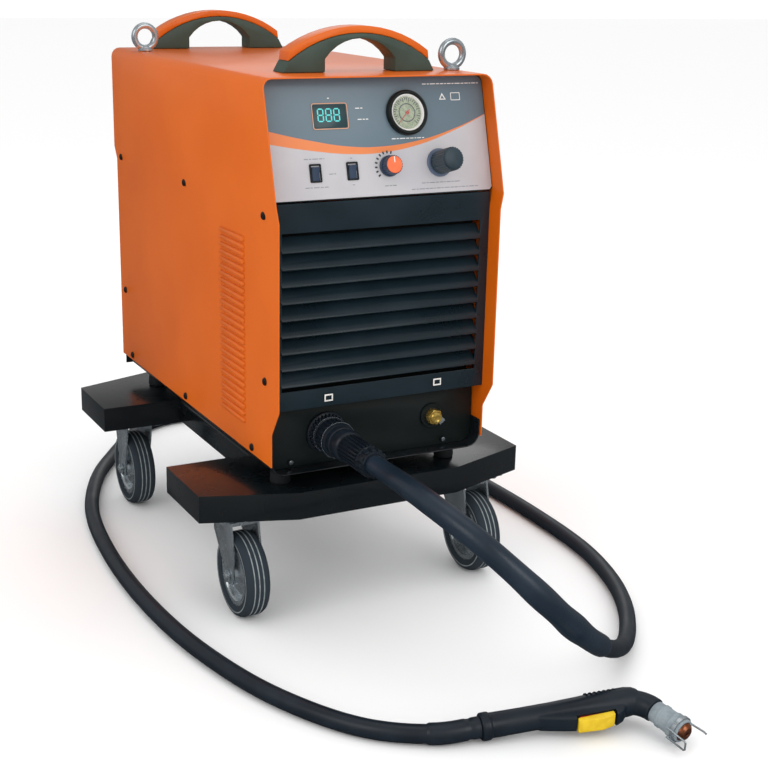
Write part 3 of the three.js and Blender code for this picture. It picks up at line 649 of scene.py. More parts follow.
@dataclass(frozen=True)
class Studio:
    """Pale floor, soft lights and the camera."""

    camera_place: tuple[float, float, float] = (-902.0, -1761.2, 911.0)
    camera_turn: float = -28.29
    camera_rise: float = 16.70
    camera_roll: float = 1.29
    lens: float = 65.9
    sensor: float = 36.0
    floor_size: float = 40000.0
    room: float = 1.07
    mirrored_room: float = 0.3
    mirrored_floor: str = "4A4E52"

    def build(self) -> None:
        """Makes all of it."""
        self.camera()
        self.floor()
        self.lights()

    def camera(self) -> None:
        """Sets the camera to its place and turn."""
        turn, rise, roll = (math.radians(v) for v in (self.camera_turn, self.camera_rise, self.camera_roll))
        back = Vector((math.sin(turn) * math.cos(rise), -math.cos(turn) * math.cos(rise), math.sin(rise)))
        right = Vector((0, 0, 1)).cross(back).normalized()
        up = back.cross(right)
        across = right * math.cos(roll) + up * math.sin(roll)
        upward = up * math.cos(roll) - right * math.sin(roll)
        matrix = Matrix((across, upward, back)).transposed().to_4x4()
        matrix.translation = Vector(self.camera_place) * MM
        data = bpy.data.cameras.new("camera")
        data.lens, data.sensor_width = self.lens, self.sensor
        data.clip_start, data.clip_end = 0.05, 60.0
        camera = bpy.data.objects.new("camera", data)
        camera.matrix_world = matrix
        bpy.context.scene.collection.objects.link(camera)
        bpy.context.scene.camera = camera

    def floor(self) -> None:
        """Lays the pale floor."""
        floor = Bench.primitive(bpy.ops.mesh.primitive_plane_add, "floor", size=self.floor_size * MM)
        paper = bpy.data.materials.new("floor_paper")
        paper.use_nodes = True
        shader = paper.node_tree.nodes["Principled BSDF"]
        # paint and metal mirror a darker floor than the one that is seen
        path = add_node(paper.node_tree, "LightPath", {})
        shade = add_node(paper.node_tree, "Mix", {"Factor": path.outputs["Is Glossy Ray"]},
                         data_type="RGBA")
        shade.inputs["A"].default_value = linear("FCFCFC")
        shade.inputs["B"].default_value = linear(self.mirrored_floor)
        paper.node_tree.links.new(shade.outputs["Result"], shader.inputs["Base Color"])
        shader.inputs["Roughness"].default_value = 0.8
        floor.data.materials.append(paper)

    def lights(self) -> None:
        """Hangs the soft boxes and fills the room with pale light."""
        world = bpy.data.worlds.new("room")
        world.use_nodes = True
        tree = world.node_tree
        background = tree.nodes["Background"]
        background.inputs["Color"].default_value = linear("FFFFFF")
        # a room that is bright for soft light but darker where paint and metal mirror it
        path = add_node(tree, "LightPath", {})
        level = add_node(tree, "MapRange", {"Value": path.outputs["Is Glossy Ray"], "To Min": self.room,
                                            "To Max": self.mirrored_room})
        tree.links.new(level.outputs["Result"], background.inputs["Strength"])
        bpy.context.scene.world = world
        boxes = (
            ("left_box", (-3200, -1200, 2200), 2.2, 16),
            ("front_box", (900, -3600, 2400), 2.4, 26),
            ("top_box", (300, 200, 3600), 2.6, 8),
            ("back_box", (1800, 3200, 2200), 2.2, 10),
        )
        target = Vector((0, 0, 400))
        for name, place, size, power in boxes:
            data = bpy.data.lights.new(name, "AREA")
            data.shape, data.size, data.energy = "DISK", size, power
            lamp = bpy.data.objects.new(name, data)
            lamp.matrix_world = facing(Vector(place) - target, Vector(place) * MM)
            bpy.context.scene.collection.objects.link(lamp)
        bpy.context.scene.view_settings.view_transform = "Standard"


# ---------------------------------------------------------------- cable


@dataclass(frozen=True)
class Lead:
    """The torch cable and what is on it: the sleeve at the machine and the relief at the torch."""

    radius: float = 12.0
    steps: int = 12
    sleeve_length: float = 508.0
    relief_length: float = 66.0
    route: tuple[tuple[float, float, float], ...] = (
        (-0.076, -0.2053, 0.27), (-0.076, -0.24, 0.27), (-0.08, -0.3, 0.273), (-0.074, -0.37, 0.266),
        (-0.054, -0.425, 0.246), (-0.023, -0.464, 0.213), (0.016, -0.483, 0.172), (0.065, -0.48, 0.1245),
        (0.116, -0.46, 0.0825), (0.167, -0.428, 0.0485), (0.217, -0.388, 0.0245), (0.263, -0.339, 0.0135),
        (0.303, -0.283, 0.0125), (0.335, -0.222, 0.0125), (0.359, -0.157, 0.0125), (0.376, -0.09, 0.0125),
        (0.385, -0.022, 0.0125), (0.389, 0.047, 0.0125), (0.391, 0.13, 0.0125), (0.389, 0.23, 0.0125),
        (0.382, 0.335, 0.0125), (0.362, 0.441, 0.0125), (0.32, 0.561, 0.0125), (0.252, 0.68, 0.0125),
        (0.17, 0.776, 0.0125), (0.094, 0.829, 0.0125), (0.015, 0.843, 0.0125), (-0.055, 0.815, 0.0125),
        (-0.111, 0.753, 0.0125), (-0.167, 0.672, 0.0125), (-0.225, 0.576, 0.0125), (-0.283, 0.421, 0.0125),
        (-0.311, 0.236, 0.0125), (-0.316, 0.036, 0.0125), (-0.298, -0.139, 0.0125),
        (-0.256, -0.294, 0.0125), (-0.19, -0.409, 0.0125), (-0.12, -0.461, 0.014),
        (-0.0675, -0.4769, 0.0178),
    )

    def line(self) -> list[Vector]:
        """The smooth middle line through the route's points, in metres."""
        points = [Vector(p) for p in self.route]
        points = [2 * points[0] - points[1], *points, 2 * points[-1] - points[-2]]
        line = []
        for a, b, c, d in zip(points, points[1:], points[2:], points[3:]):
            before, here, after = ((q - p).length ** 0.5 for p, q in ((a, b), (b, c), (c, d)))
            leave = ((b - a) / before - (c - a) / (before + here) + (c - b) / here) * here
            arrive = ((c - b) / here - (d - b) / (here + after) + (d - c) / after) * here
            for step in range(self.steps):
                t = step / self.steps
                line.append(b * (2 * t**3 - 3 * t**2 + 1) + c * (3 * t**2 - 2 * t**3)
                            + leave * (t**3 - 2 * t**2 + t) + arrive * (t**3 - t**2))
        return [*line, points[-2]]

    def tube(self, name: str, line: list[Vector], radii: list[float]) -> bpy.types.Object:
        """A tube along a line, with a radius at each of its points.

        Args:
            name: Name of the piece.
            line: Points in metres.
            radii: Radius at each point, in millimetres.

        Returns:
            The curve object.
        """
        data = bpy.data.curves.new(name, "CURVE")
        data.dimensions, data.bevel_depth, data.bevel_resolution, data.use_fill_caps = "3D", MM, 8, True
        spline = data.splines.new("POLY")
        spline.points.add(len(line) - 1)
        for point, place, radius in zip(spline.points, line, radii):
            point.co, point.radius = (*place, 1.0), radius
        tube = bpy.data.objects.new(name, data)
        bpy.context.scene.collection.objects.link(tube)
        return tube

    def stretch(self, line: list[Vector], start: float, end: float,
                pitch: float) -> tuple[list[Vector], list[float]]:
        """Evenly spaced points on part of a line.

        Args:
            line: Points in metres.
            start: Where the part starts, in millimetres along the line.
            end: Where it ends.
            pitch: Spacing of the points.

        Returns:
            The points, and how far along the line each is.
        """
        along = [0.0]
        for a, b in zip(line, line[1:]):
            along.append(along[-1] + (b - a).length / MM)
        count = max(2, round((end - start) / pitch) + 1)
        places, marks, i = [], [], 0
        for k in range(count):
            mark = start + (end - start) * k / (count - 1)
            while i < len(line) - 2 and along[i + 1] < mark:
                i += 1
            share = (mark - along[i]) / (along[i + 1] - along[i])
            places.append(line[i].lerp(line[i + 1], share))
            marks.append(mark)
        return places, marks

    def sleeve_radius(self, mark: float) -> float:
        """Outer radius of the heat-shrunk sleeve, with its two swellings, at a distance along it."""
        radius = 13.4 + 1.8 * min(1.0, mark / 150.0)
        for centre, width, height in ((338, 34, 1.7), (410, 26, 2.4)):
            radius += height * math.exp(-(((mark - centre) / width) ** 2))
        ease = min(1.0, (self.sleeve_length - mark) / 9.0)
        return self.radius + 0.4 + (radius - self.radius - 0.4) * math.sin(ease * math.pi / 2)

    def meshed(self, curve: bpy.types.Object) -> bpy.types.Object:
        """Turns a curve piece into a mesh, shaded smooth."""
        Bench.pick(curve)
        bpy.ops.object.convert(target="MESH")
        mesh = bpy.context.active_object
        bpy.ops.object.mode_set(mode="EDIT")
        bpy.ops.mesh.select_all(action="SELECT")
        bpy.ops.mesh.remove_doubles(threshold=0.01 * MM)
        bpy.ops.mesh.normals_make_consistent(inside=False)
        bpy.ops.object.mode_set(mode="OBJECT")
        return Bench.smooth(mesh, 50)

    def build(self) -> None:
        line = self.line()
        length = sum((b - a).length for a, b in zip(line, line[1:])) / MM
        cable = self.tube("torch_cable_sheath", line, [self.radius] * len(line))
        cable.data.materials.append(CABLE.material())
        places, marks = self.stretch(line, 0.0, self.sleeve_length, 6.0)
        sleeve = self.meshed(self.tube("machine_end_sleeve", places,
                                       [self.sleeve_radius(m) for m in marks]))
        places, marks = self.stretch(line, length - self.relief_length, length, 3.0)
        grooves = [13.6 - (0.9 if abs(length - m - 14) < 2.2 else 0.0) for m in marks]
        grooves[0] = self.radius + 0.3
        relief = self.meshed(self.tube("torch_end_relief", places, grooves))
        fit(sleeve, SLEEVE)
        fit(relief, CABLE)
        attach(cable, ROOT)
        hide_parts("torch_cable")
        log.info("torch cable: %.0f mm", length)


# ---------------------------------------------------------------- fasteners


@dataclass(frozen=True)
class PanScrew:
    """Pan-head screw with a cross recess, head only."""

    radius: float = 4.3
    height: float = 2.6
    recess: float = 1.1

    def master(self) -> bpy.types.Object:
        """One head at the local origin, pointing up."""
        r, h = self.radius, self.height
        head = Bench.turned("screw_master", [(0, -0.4), (r, -0.4), (r, 0.3 * h), (0.86 * r, 0.72 * h),
                                             (0.5 * r, 0.95 * h), (0, h)], Matrix.Identity(4), 20)
        for turn in (0.0, math.pi / 2):
            blade = Bench.block("screw_cutter", (-0.62 * r, -0.4, h - self.recess), (0.62 * r, 0.4, h + 1))
            Bench.cut(head, Bench.place(blade, Matrix.Rotation(turn, 4, "Z")))
        return head

    def batch(self, name: str, places: list[tuple[float, float, float]], direction: Vector,
              finish: Finish, body: str = ROOT) -> None:
        """Sets equal screws along one direction and joins them into one piece.

        Args:
            name: Name of the piece.
            places: Where each head sits.
            direction: Where the heads point.
            finish: Their finish.
            body: Body that they move with.
        """
        master = self.master()
        copies = [Bench.copied(master, f"{name}_{i}", facing(direction, place, 0.4 * i))
                  for i, place in enumerate(places)]
        bpy.data.objects.remove(master)
        fit(Bench.joined(name, copies), finish, body)


@dataclass(frozen=True)
class HexBolt:
    """Hexagon bolt head on a washer."""

    across: float = 13.0
    height: float = 5.5
    washer: float = 9.0

    def head(self, name: str, matrix: Matrix) -> bpy.types.Object:
        """One head with its washer.

        Args:
            name: Name of the piece.
            matrix: Placement; the head stands up along local +Z.

        Returns:
            The head.
        """
        top = Bench.primitive(bpy.ops.mesh.primitive_cylinder_add, name, vertices=6, depth=self.height * MM,
                              radius=self.across / math.sqrt(3) * MM,
                              location=(0, 0, (1.4 + self.height / 2) * MM))
        Bench.soften(Bench.place(top, Matrix.Identity(4)), 0.7)
        disc = Bench.turned(name + "_washer", [(0, 0), (self.washer, 0), (self.washer, 1.2),
                                               (self.washer - 0.4, 1.5), (0, 1.5)], Matrix.Identity(4), 24)
        return Bench.place(Bench.joined(name, [disc, top]), matrix)


# ---------------------------------------------------------------- housing


@dataclass(frozen=True)
class Housing:
    """Painted cover, base tray, feet, side louvres and screws."""

    louvre_count: int = 26
    louvre_pitch: float = 10.5
    louvre_low: float = 279.0
    louvre_front: float = 11.0
    louvre_length: float = 91.0
    louvre_radius: float = 3.9
    side_step: float = 4.0
    screws: tuple[tuple[float, float], ...] = (
        (548, 587), (243, 587), (-58, 586), (549, 357), (-59, 357), (521, 247), (257, 247), (-12, 247),
    )

    def build(self) -> None:
        """Makes the housing's pieces."""
        fit(Bench.from_node("cover", 0.7, 3), ORANGE_ENAMEL, stands_for=("cover",))
        fit(Bench.from_node("base_tray", 0.8), BLACK_ENAMEL, stands_for=("base_tray",))
        for side in Side:
            self.side_louvres(side)
            self.side_screws(side)
        for node in ("foot_front_left", "foot_front_right", "foot_rear_left", "foot_rear_right"):
            self.foot(node)

    def lower_side(self, side: Side) -> float:
        """Outer face of the cover's lower half on one side."""
        _, high = node_box("cover")
        return side.value * (high.x - self.side_step)

    def side_louvres(self, side: Side) -> None:
        """Presses the field of ventilation ridges into one side.

        Args:
            side: The side of the cover.
        """
        r = self.louvre_radius
        ridge = Bench.primitive(bpy.ops.mesh.primitive_uv_sphere_add, "louvre_master", segments=12,
                                ring_count=8, radius=r * MM, rotation=(math.pi / 2, 0, 0))
        Bench.place(ridge, Matrix.Translation((self.lower_side(side) - side.value * 0.3,
                                               self.louvre_front + r, self.louvre_low)))
        Bench.pick(ridge)
        bpy.ops.object.mode_set(mode="EDIT")
        mesh = bmesh.from_edit_mesh(ridge.data)
        for vertex in mesh.verts:
            vertex.select_set(vertex.co.y > (self.louvre_front + r + 0.1) * MM)
        mesh.select_flush(True)
        bmesh.update_edit_mesh(ridge.data)
        bpy.ops.transform.translate(value=(0, (self.louvre_length - 2 * r) * MM, 0))
        bpy.ops.object.mode_set(mode="OBJECT")
        Bench.smooth(ridge, 60)
        name = f"{side.name.lower()}_side_louvres"
        copies = [Bench.copied(ridge, f"{name}_{i}", Matrix.Translation((0, 0, i * self.louvre_pitch)))
                  for i in range(self.louvre_count)]
        bpy.data.objects.remove(ridge)
        fit(Bench.joined(name, copies), ORANGE_ENAMEL)

    def side_screws(self, side: Side) -> None:
        """Sets the cover's screws on one side."""
        places = [(self.lower_side(side) + side.value * (0.9 if z > 580 else 0), y, z)
                  for y, z in self.screws]
        PanScrew(5.6, 3.4, 1.3).batch(f"{side.name.lower()}_cover_screws", places,
                                      Vector((side.value, 0, 0)), BLACK_SCREW)

    def foot(self, node: str) -> None:
        """Turns one rubber foot with a waist and a rounded sole."""
        low, high = node_box(node)
        centre, r, h = (low + high) / 2, (high.x - low.x) / 2, high.z - low.z
        foot = Bench.turned(node + "_body", [(0, 0), (r - 2, 0), (r - 0.5, 1), (r, 3), (r - 0.6, 0.4 * h),
                                             (r - 2, 0.8 * h), (r - 2.4, h), (0, h)],
                            Matrix.Translation((centre.x, centre.y, low.z)), 40)
        fit(foot, FOOT_RUBBER, stands_for=(node,))


@dataclass(frozen=True)
class Handle:
    """Carry handle: a moulded body with a painted cap over its arch."""

    name: str

    def build(self) -> None:
        """Makes body and cap."""
        fit(Bench.from_node(f"{self.name}_body", 1.6, 3, 40), HANDLE_ABS, stands_for=(f"{self.name}_body",))
        fit(Bench.from_node(f"{self.name}_cap", 1.8, 3, 40), ORANGE_ENAMEL,
            stands_for=(f"{self.name}_cap",))


@dataclass(frozen=True)
class EyeBolt:
    """Forged lifting eye: a ring on a collar."""

    node: str
    wire: float = 5.0
    collar: float = 11.6

    def build(self) -> None:
        """Makes the ring and the collar as one forging."""
        low, high = node_box(self.node)
        centre = (low + high) / 2
        outer = (high.x - low.x) / 2
        ring = Bench.primitive(bpy.ops.mesh.primitive_torus_add, self.node + "_forging", major_segments=64,
                               minor_segments=20, major_radius=(outer - self.wire) * MM,
                               minor_radius=self.wire * MM, rotation=(math.pi / 2, 0, 0),
                               location=(centre.x * MM, centre.y * MM, (high.z - outer) * MM))
        Bench.place(ring, Matrix.Identity(4))
        c = self.collar
        collar = Bench.turned("collar", [(0, 0), (c - 0.6, 0), (c, 0.8), (c, 3.2), (c - 1, 4.2), (8.2, 5.2),
                                         (6.6, 7.4), (5.6, 9.4), (0, 9.4)],
                              Matrix.Translation((centre.x, centre.y, low.z)), 40)
        Bench.apply(ring, "BOOLEAN", object=collar, operation="UNION", solver="EXACT")
        bpy.data.objects.remove(collar)
        fit(Bench.smooth(ring, 45), ZINC, stands_for=(self.node,))


@dataclass(frozen=True)
class FrontPanels:
    """Louvred intake panel, filter behind it, connector panel and their small fittings."""

    filter_margin: float = 12.0
    badge: float = 13.0

    def build(self) -> None:
        """Makes the front panels."""
        fit(Bench.from_node("louvre_panel", 0.9), LOUVRE_ABS, stands_for=("louvre_panel",))
        fit(Bench.from_node("connector_panel", 0.6), BLACK_ABS, stands_for=("connector_panel",))
        low, high = node_box("louvre_panel")
        foam = Bench.block("intake_filter", (low.x + self.filter_margin, high.y + 3, low.z + 14),
                           (high.x - self.filter_margin, high.y + 12, high.z - 24), 1.0)
        fit(foam, FILTER_FOAM)
        face = node_box("connector_panel")[0]
        PanScrew(3.8, 2.3, 0.9).batch("connector_panel_screws",
                                      [(x, face.y, 232.5) for x in (-131, 117)], Vector((0, -1, 0)),
                                      ZINC_SCREW)
        self.badges(node_box("louvre_panel")[0].y)

    def badges(self, face: float) -> None:
        """Two small pale outline squares over the sockets.

        Args:
            face: Front face of the louvre panel.
        """
        for name, x, z in (("torch_socket_badge", -84, 329), ("work_socket_badge", 90, 331)):
            half = self.badge / 2
            plate = Bench.block(name, (x - half, face - 0.5, z - 0.8 * half),
                                (x + half, face + 0.5, z + 0.8 * half), 0.4)
            inner = 0.72
            hollow = Bench.block("cutter", (x - half * inner, face - 1, z - 0.5 * half),
                                 (x + half * inner, face + 1, z + 0.5 * half))
            Bench.cut(plate, hollow)
            fit(plate, PRINT_WHITE)


# ---------------------------------------------------------------- control fascia


def joint_place(name: str) -> Vector:
    """Place of a frame joint, in millimetres."""
    return Vector(next(j for j in frame["joints"] if j["name"] == name)["pos_m"]) / MM


def joint_axis(name: str) -> Vector:
    """Axis of a frame joint."""
    return Vector(next(j for j in frame["joints"] if j["name"] == name)["axis"])


@dataclass(frozen=True)
class Label(Finish):
    """Printed film: blue-grey above, pale grey below, and an orange sweep between them."""

    upper: str = "62747F"
    sweep: str = "E08048"
    half_width: float = 172.7
    height: float = 168.0
    # heights of the sweep's two edges, from left to right, each a share of the film's height
    top_edge: tuple[tuple[float, float], ...] = (
        (0.0, 0.585), (0.2, 0.485), (0.37, 0.425), (0.5, 0.415), (0.67, 0.45), (0.84, 0.535), (1.0, 0.655),
    )
    low_edge: tuple[tuple[float, float], ...] = (
        (0.0, 0.48), (0.2, 0.405), (0.37, 0.365), (0.5, 0.365), (0.67, 0.415), (0.84, 0.52), (1.0, 0.65),
    )

    def paint(self, tree: bpy.types.NodeTree, place: bpy.types.NodeSocket,
              cloud: bpy.types.NodeSocket) -> bpy.types.NodeSocket:
        """Prints the three fields.

        Args:
            tree: Node tree of the material.
            place: Object coordinates.
            cloud: Slow noise from 0 to 1.

        Returns:
            The colour socket.
        """
        base = super().paint(tree, place, cloud)
        inward = joint_axis("needle_sweep")
        up_slope = Vector((1, 0, 0)).cross(inward)
        foot = slope_frame().translation
        rise = add_node(tree, "VectorMath", {0: place, 1: up_slope},
                        operation="DOT_PRODUCT").outputs["Value"]
        across = add_node(tree, "SeparateXYZ", {"Vector": place}).outputs["X"]
        share_x = add_node(tree, "MapRange", {"Value": across, "From Min": -self.half_width * MM,
                                              "From Max": self.half_width * MM}).outputs["Result"]
        start = up_slope.dot(foot) * MM
        share_z = add_node(tree, "MapRange", {"Value": rise, "From Min": start,
                                              "From Max": start + self.height * MM}).outputs["Result"]
        colour = base
        for edge, ink in ((self.low_edge, self.sweep), (self.top_edge, self.upper)):
            curve = add_node(tree, "FloatCurve", {"Value": share_x})
            points = curve.mapping.curves[0].points
            points[0].location, points[1].location = edge[0], edge[-1]
            for point in edge[1:-1]:
                points.new(*point)
            curve.mapping.update()
            above = add_node(tree, "Math", {0: share_z, 1: curve.outputs["Value"]},
                             operation="GREATER_THAN")
            mix = add_node(tree, "Mix", {"Factor": above.outputs["Value"]}, data_type="RGBA")
            tree.links.new(colour, mix.inputs["A"])
            mix.inputs["B"].default_value = linear(ink)
            colour = mix.outputs["Result"]
        return colour


def slope_frame() -> Matrix:
    """Frame of the fascia's face: local X to the right, local Z up the slope, local Y inwards."""
    inward = joint_axis("needle_sweep").normalized()
    up_slope = Vector((1, 0, 0)).cross(inward)
    foot = joint_place("current_turn") - up_slope * Fascia.knob_rise
    foot.x = 0
    matrix = Matrix(((1, 0, 0), tuple(inward), tuple(up_slope))).transposed().to_4x4()
    matrix.translation = foot
    return matrix


@dataclass(frozen=True)
class Fascia:
    """Sloped control fascia with display, gauge, switches and knobs."""

    knob_rise: float = 42.5
    film: float = 0.5
    corner: float = 11.0
    display: tuple[float, float] = (-71.0, 113.0)
    gauge: tuple[float, float] = (45.0, 114.0)
    rockers: tuple[tuple[str, float, float], ...] = (("left", -101, 38), ("right", -46, 38.5))
    strokes: tuple[float, ...] = (6.0, 3.2, 8.4, 4.6, 5.4, 2.6)
    knob: tuple[float, float] = (10.0, 42.5)
    regulator: tuple[float, float] = (90.0, 44.0)

    def build(self) -> None:
        """Makes the fascia's pieces."""
        self.sheet_and_film()
        self.display_digits()
        self.pressure_gauge()
        for name, x, rise in self.rockers:
            self.rocker(name, x, rise)
        self.current_knob()
        self.regulator_knob()
        self.print_marks()

    def at(self, x: float, rise: float, out: float = 0.0) -> Matrix:
        """Placement on the face.

        Args:
            x: To the right.
            rise: Up the slope.
            out: Out of the face.

        Returns:
            Frame with local Z up the slope and local Y inwards.
        """
        return slope_frame() @ Matrix.Translation((x, -out, rise))

    def standing(self, x: float, rise: float, out: float = 0.0) -> Matrix:
        """The same placement, with local Z pointing out of the face."""
        return self.at(x, rise, out) @ Matrix.Rotation(math.pi / 2, 4, "X")

    def rounded(self, half_x: float, half_z: float, radius: float,
                steps: int = 6) -> list[tuple[float, float]]:
        """Outline of a rounded rectangle about the origin."""
        outline = []
        for quarter, (sx, sz) in enumerate(((1, 1), (-1, 1), (-1, -1), (1, -1))):
            for step in range(steps + 1):
                angle = (quarter + step / steps) * math.pi / 2
                outline.append((sx * (half_x - radius) + radius * math.cos(angle),
                                sz * (half_z - radius) + radius * math.sin(angle)))
        return outline

    def frame_ring(self, name: str, half_x: float, half_z: float, radius: float, band: float, depth: float,
                   matrix: Matrix, soften: float = 0.0) -> bpy.types.Object:
        """A rounded rectangular ring.

        Args:
            name: Name of the piece.
            half_x: Half the outer width.
            half_z: Half the outer height.
            radius: Outer corner radius.
            band: Width of the ring.
            depth: Thickness.
            matrix: Placement, outer face at local y = 0.
            soften: Width of the edge bevel.

        Returns:
            The ring.
        """
        ring = Bench.plate(name, self.rounded(half_x, half_z, radius), depth, Matrix.Identity(4))
        inner = Bench.plate("cutter", self.rounded(half_x - band, half_z - band, max(radius - band, 0.4)),
                            depth + 2, Matrix.Translation((0, -1, 0)))
        Bench.place(Bench.cut(ring, inner), matrix)
        return Bench.soften(ring, soften) if soften else Bench.smooth(ring)

    def sheet_and_film(self) -> None:
        """The steel fascia and the printed film on it."""
        fit(Bench.from_node("control_fascia", 0.5), BLACK_ENAMEL, stands_for=("control_fascia",))
        low, high = node_box("control_fascia")
        half = high.x - 1.2
        bottom, narrow = 3.0, node_box("louvre_panel")[1].x - 1
        top = (high.z - low.z) / slope_frame()[2][2] - 1.4
        r = self.corner
        outline = [(narrow, bottom), (half, bottom + 4)]
        outline += [(half - r + r * math.cos(a), top - r + r * math.sin(a))
                    for a in (math.radians(9 * i) for i in range(11))]
        outline += [(-x, z) for x, z in reversed(outline)]
        film = Bench.plate("printed_film", outline, self.film + 0.2, self.at(0, 0, self.film), 0.2)
        fit(film, LABEL)

    def segment(self, name: str, x: float, rise: float, upright: bool, length: float) -> bpy.types.Object:
        """One bar of a seven-segment digit, with pointed ends."""
        h, w = length / 2, 0.85
        outline = [(-h, 0), (-h + w, w), (h - w, w), (h, 0), (h - w, -w), (-h + w, -w)]
        if upright:
            outline = [(-z, a) for a, z in outline]
        return Bench.plate(name, outline, 0.4, self.at(x, rise, 1.25))

    def display_digits(self) -> None:
        """Smoked window, three lit digits and the printed outline round them."""
        fit(Bench.from_node("display_window", 0.5), SMOKED, stands_for=("display_window",))
        x0, rise = self.display
        bars = []
        for digit in range(3):
            x = x0 - 2 + (digit - 1) * 12.0
            for dz in (-8.2, 0.0, 8.2):
                bars.append(self.segment("bar", x, rise + 1.5 + dz, False, 6.6))
            bars += [self.segment("bar", x + dx, rise + 1.5 + dz, True, 7.4) for dx in (-3.9, 3.9)
                     for dz in (-4.1, 4.1)]
        fit(Bench.joined("display_digits", bars), DIGIT)
        outline = self.frame_ring("display_outline", 26.5, 17.5, 3.5, 1.0, 0.5,
                                  self.at(x0, rise, self.film + 1.0))
        fit(outline, PRINT_ORANGE)

    def pressure_gauge(self) -> None:
        """Case with its bezel, dial, ring, marks and lens; the needle is the frame's."""
        x, rise = self.gauge
        base = self.standing(x, rise)
        case = Bench.turned("gauge_housing", [(0, -32), (25.6, -32), (25.6, 0.7), (30.8, 0.7), (31, 1.4),
                                              (31, 6), (30.2, 8), (28.6, 9.2), (26.8, 9.2), (25.6, 8.2),
                                              (25.2, 3.4), (0, 3.4)],
                            base, 72)
        fit(case, BLACK_ABS, stands_for=("gauge_case",))
        ring = Bench.turned("gauge_ring", [(25.0, 3.6), (25.0, 7.2), (24.2, 7.4), (22.2, 4.4), (22.2, 3.6),
                                           (25.0, 3.6)], base, 72)
        fit(ring, PRINT_WHITE)
        dial = Bench.turned("gauge_dial", [(0, 3.5), (22.1, 3.5), (22.1, 3.8), (0, 3.8)], base, 64)
        fit(dial, DIAL_FACE)
        marks = []
        for i in range(28):
            long = i % 3 == 0
            mark = Bench.block("mark", (-0.65, 15.4 if long else 17.6, 3.7), (0.65, 20.8, 3.98))
            marks.append(Bench.place(mark, base @ Matrix.Rotation(math.radians(135 - 10 * i), 4, "Z")))
        inner = Bench.turned("mark", [(11.4, 3.7), (13.0, 3.7), (13.0, 3.95), (11.4, 3.95), (11.4, 3.7)],
                             base, 48)
        fit(Bench.joined("gauge_marks", [*marks, inner]), PRINT_DARK)
        lens = Bench.turned("gauge_lens", [(0, 6.4), (24.0, 6.2), (25.1, 6.2), (25.1, 7.6), (20, 8.4),
                                           (10, 8.9), (0, 9.0)],
                            base, 64)
        fit(lens, LENS)
        dress("gauge_needle", NEEDLE_RED)

    def rocker(self, name: str, x: float, rise: float) -> None:
        """One rocker switch in its bezel."""
        node = f"rocker_{name}"
        fit(Bench.from_node(node, 0.7), BLUE_NYLON, f"{name}_rocker", stands_for=(node,))
        bezel = self.frame_ring(f"{name}_rocker_bezel", 8.6, 12.4, 1.8, 2.3, 2.6, self.at(x, rise, 2.2),
                                0.5)
        fit(bezel, BLACK_ABS)

    def fluted(self, name: str, radius: float, flute: float, count: int, height: float) -> bpy.types.Object:
        """A grip with flutes round it, standing on the local origin.

        Args:
            name: Name of the piece.
            radius: Outer radius.
            flute: Depth of the flutes.
            count: Number of flutes.
            height: Height of the grip.

        Returns:
            The grip, along local +Z.
        """
        outline = []
        for i in range(count * 4):
            angle = 2 * math.pi * i / (count * 4)
            r = radius - (flute if i % 4 in (1, 2) else 0.0)
            outline.append((r * math.cos(angle), r * math.sin(angle)))
        grip = Bench.plate(name, outline, height, Matrix.Rotation(math.pi / 2, 4, "X"))
        return Bench.soften(grip, 0.35, 2, 50)

    def current_knob(self) -> None:
        """Fluted skirt with an orange cap and a pointer line, and the scale's dashes round it."""
        x, rise = self.knob
        base = self.standing(x, rise)
        low = 0.8
        skirt = Bench.turned("current_knob_skirt", [(0, low), (14.3, low), (14.5, low + 0.6), (14.5, 4.6),
                                                    (13.4, 5.6), (0, 5.6)], base, 48)
        grip = Bench.place(self.fluted("current_knob_grip", 13.0, 0.6, 22, 12.2),
                           base @ Matrix.Translation((0, 0, 5.4)))
        fit(Bench.joined("current_knob_body", [skirt, grip]), BLUE_NYLON, "current_dial", ("current_knob",))
        cap = Bench.turned("current_knob_cap", [(0, 17.4), (11.6, 17.4), (11.6, 18.4), (10.8, 19.1),
                                                (0, 19.3)], base, 48)
        fit(cap, ORANGE_CAP, "current_dial")
        line = Bench.place(Bench.block("current_knob_pointer", (-0.7, 3, 19.0), (0.7, 11.0, 19.5), 0.2),
                           base)
        fit(line, PRINT_WHITE, "current_dial")
        dashes = []
        for i in range(9):
            turn = math.radians(128 - 18 * i)
            dash = Bench.block("dash", (-1.1, 17.6, 0.45), (1.1, 21.4, 0.75))
            dashes.append(Bench.place(dash, base @ Matrix.Rotation(turn, 4, "Z")))
        fit(Bench.joined("current_scale", dashes), PRINT_DARK)

    def regulator_knob(self) -> None:
        """Lock ring on the face and a long fluted knob."""
        x, rise = self.regulator
        base = self.standing(x, rise)
        ring = Bench.turned("regulator_lock_ring", [(0, 0.4), (19.4, 0.4), (19.8, 0.9), (19.6, 2.6),
                                                    (18.4, 3.9), (0, 3.9)],
                            base, 56)
        fit(ring, LOCK_RING)
        grip = self.fluted("regulator_grip", 16.3, 0.7, 26, 35.0)
        nose = Bench.turned("nose", [(0, 34.6), (15.4, 34.6), (14.6, 36.6), (12.6, 37.6), (0, 37.9)],
                            Matrix.Identity(4), 52)
        knob = Bench.place(Bench.joined("regulator_grip", [grip, nose]),
                           base @ Matrix.Translation((0, 0, 4.5)))
        fit(knob, REGULATOR, "regulator_dial", ("regulator_knob",))

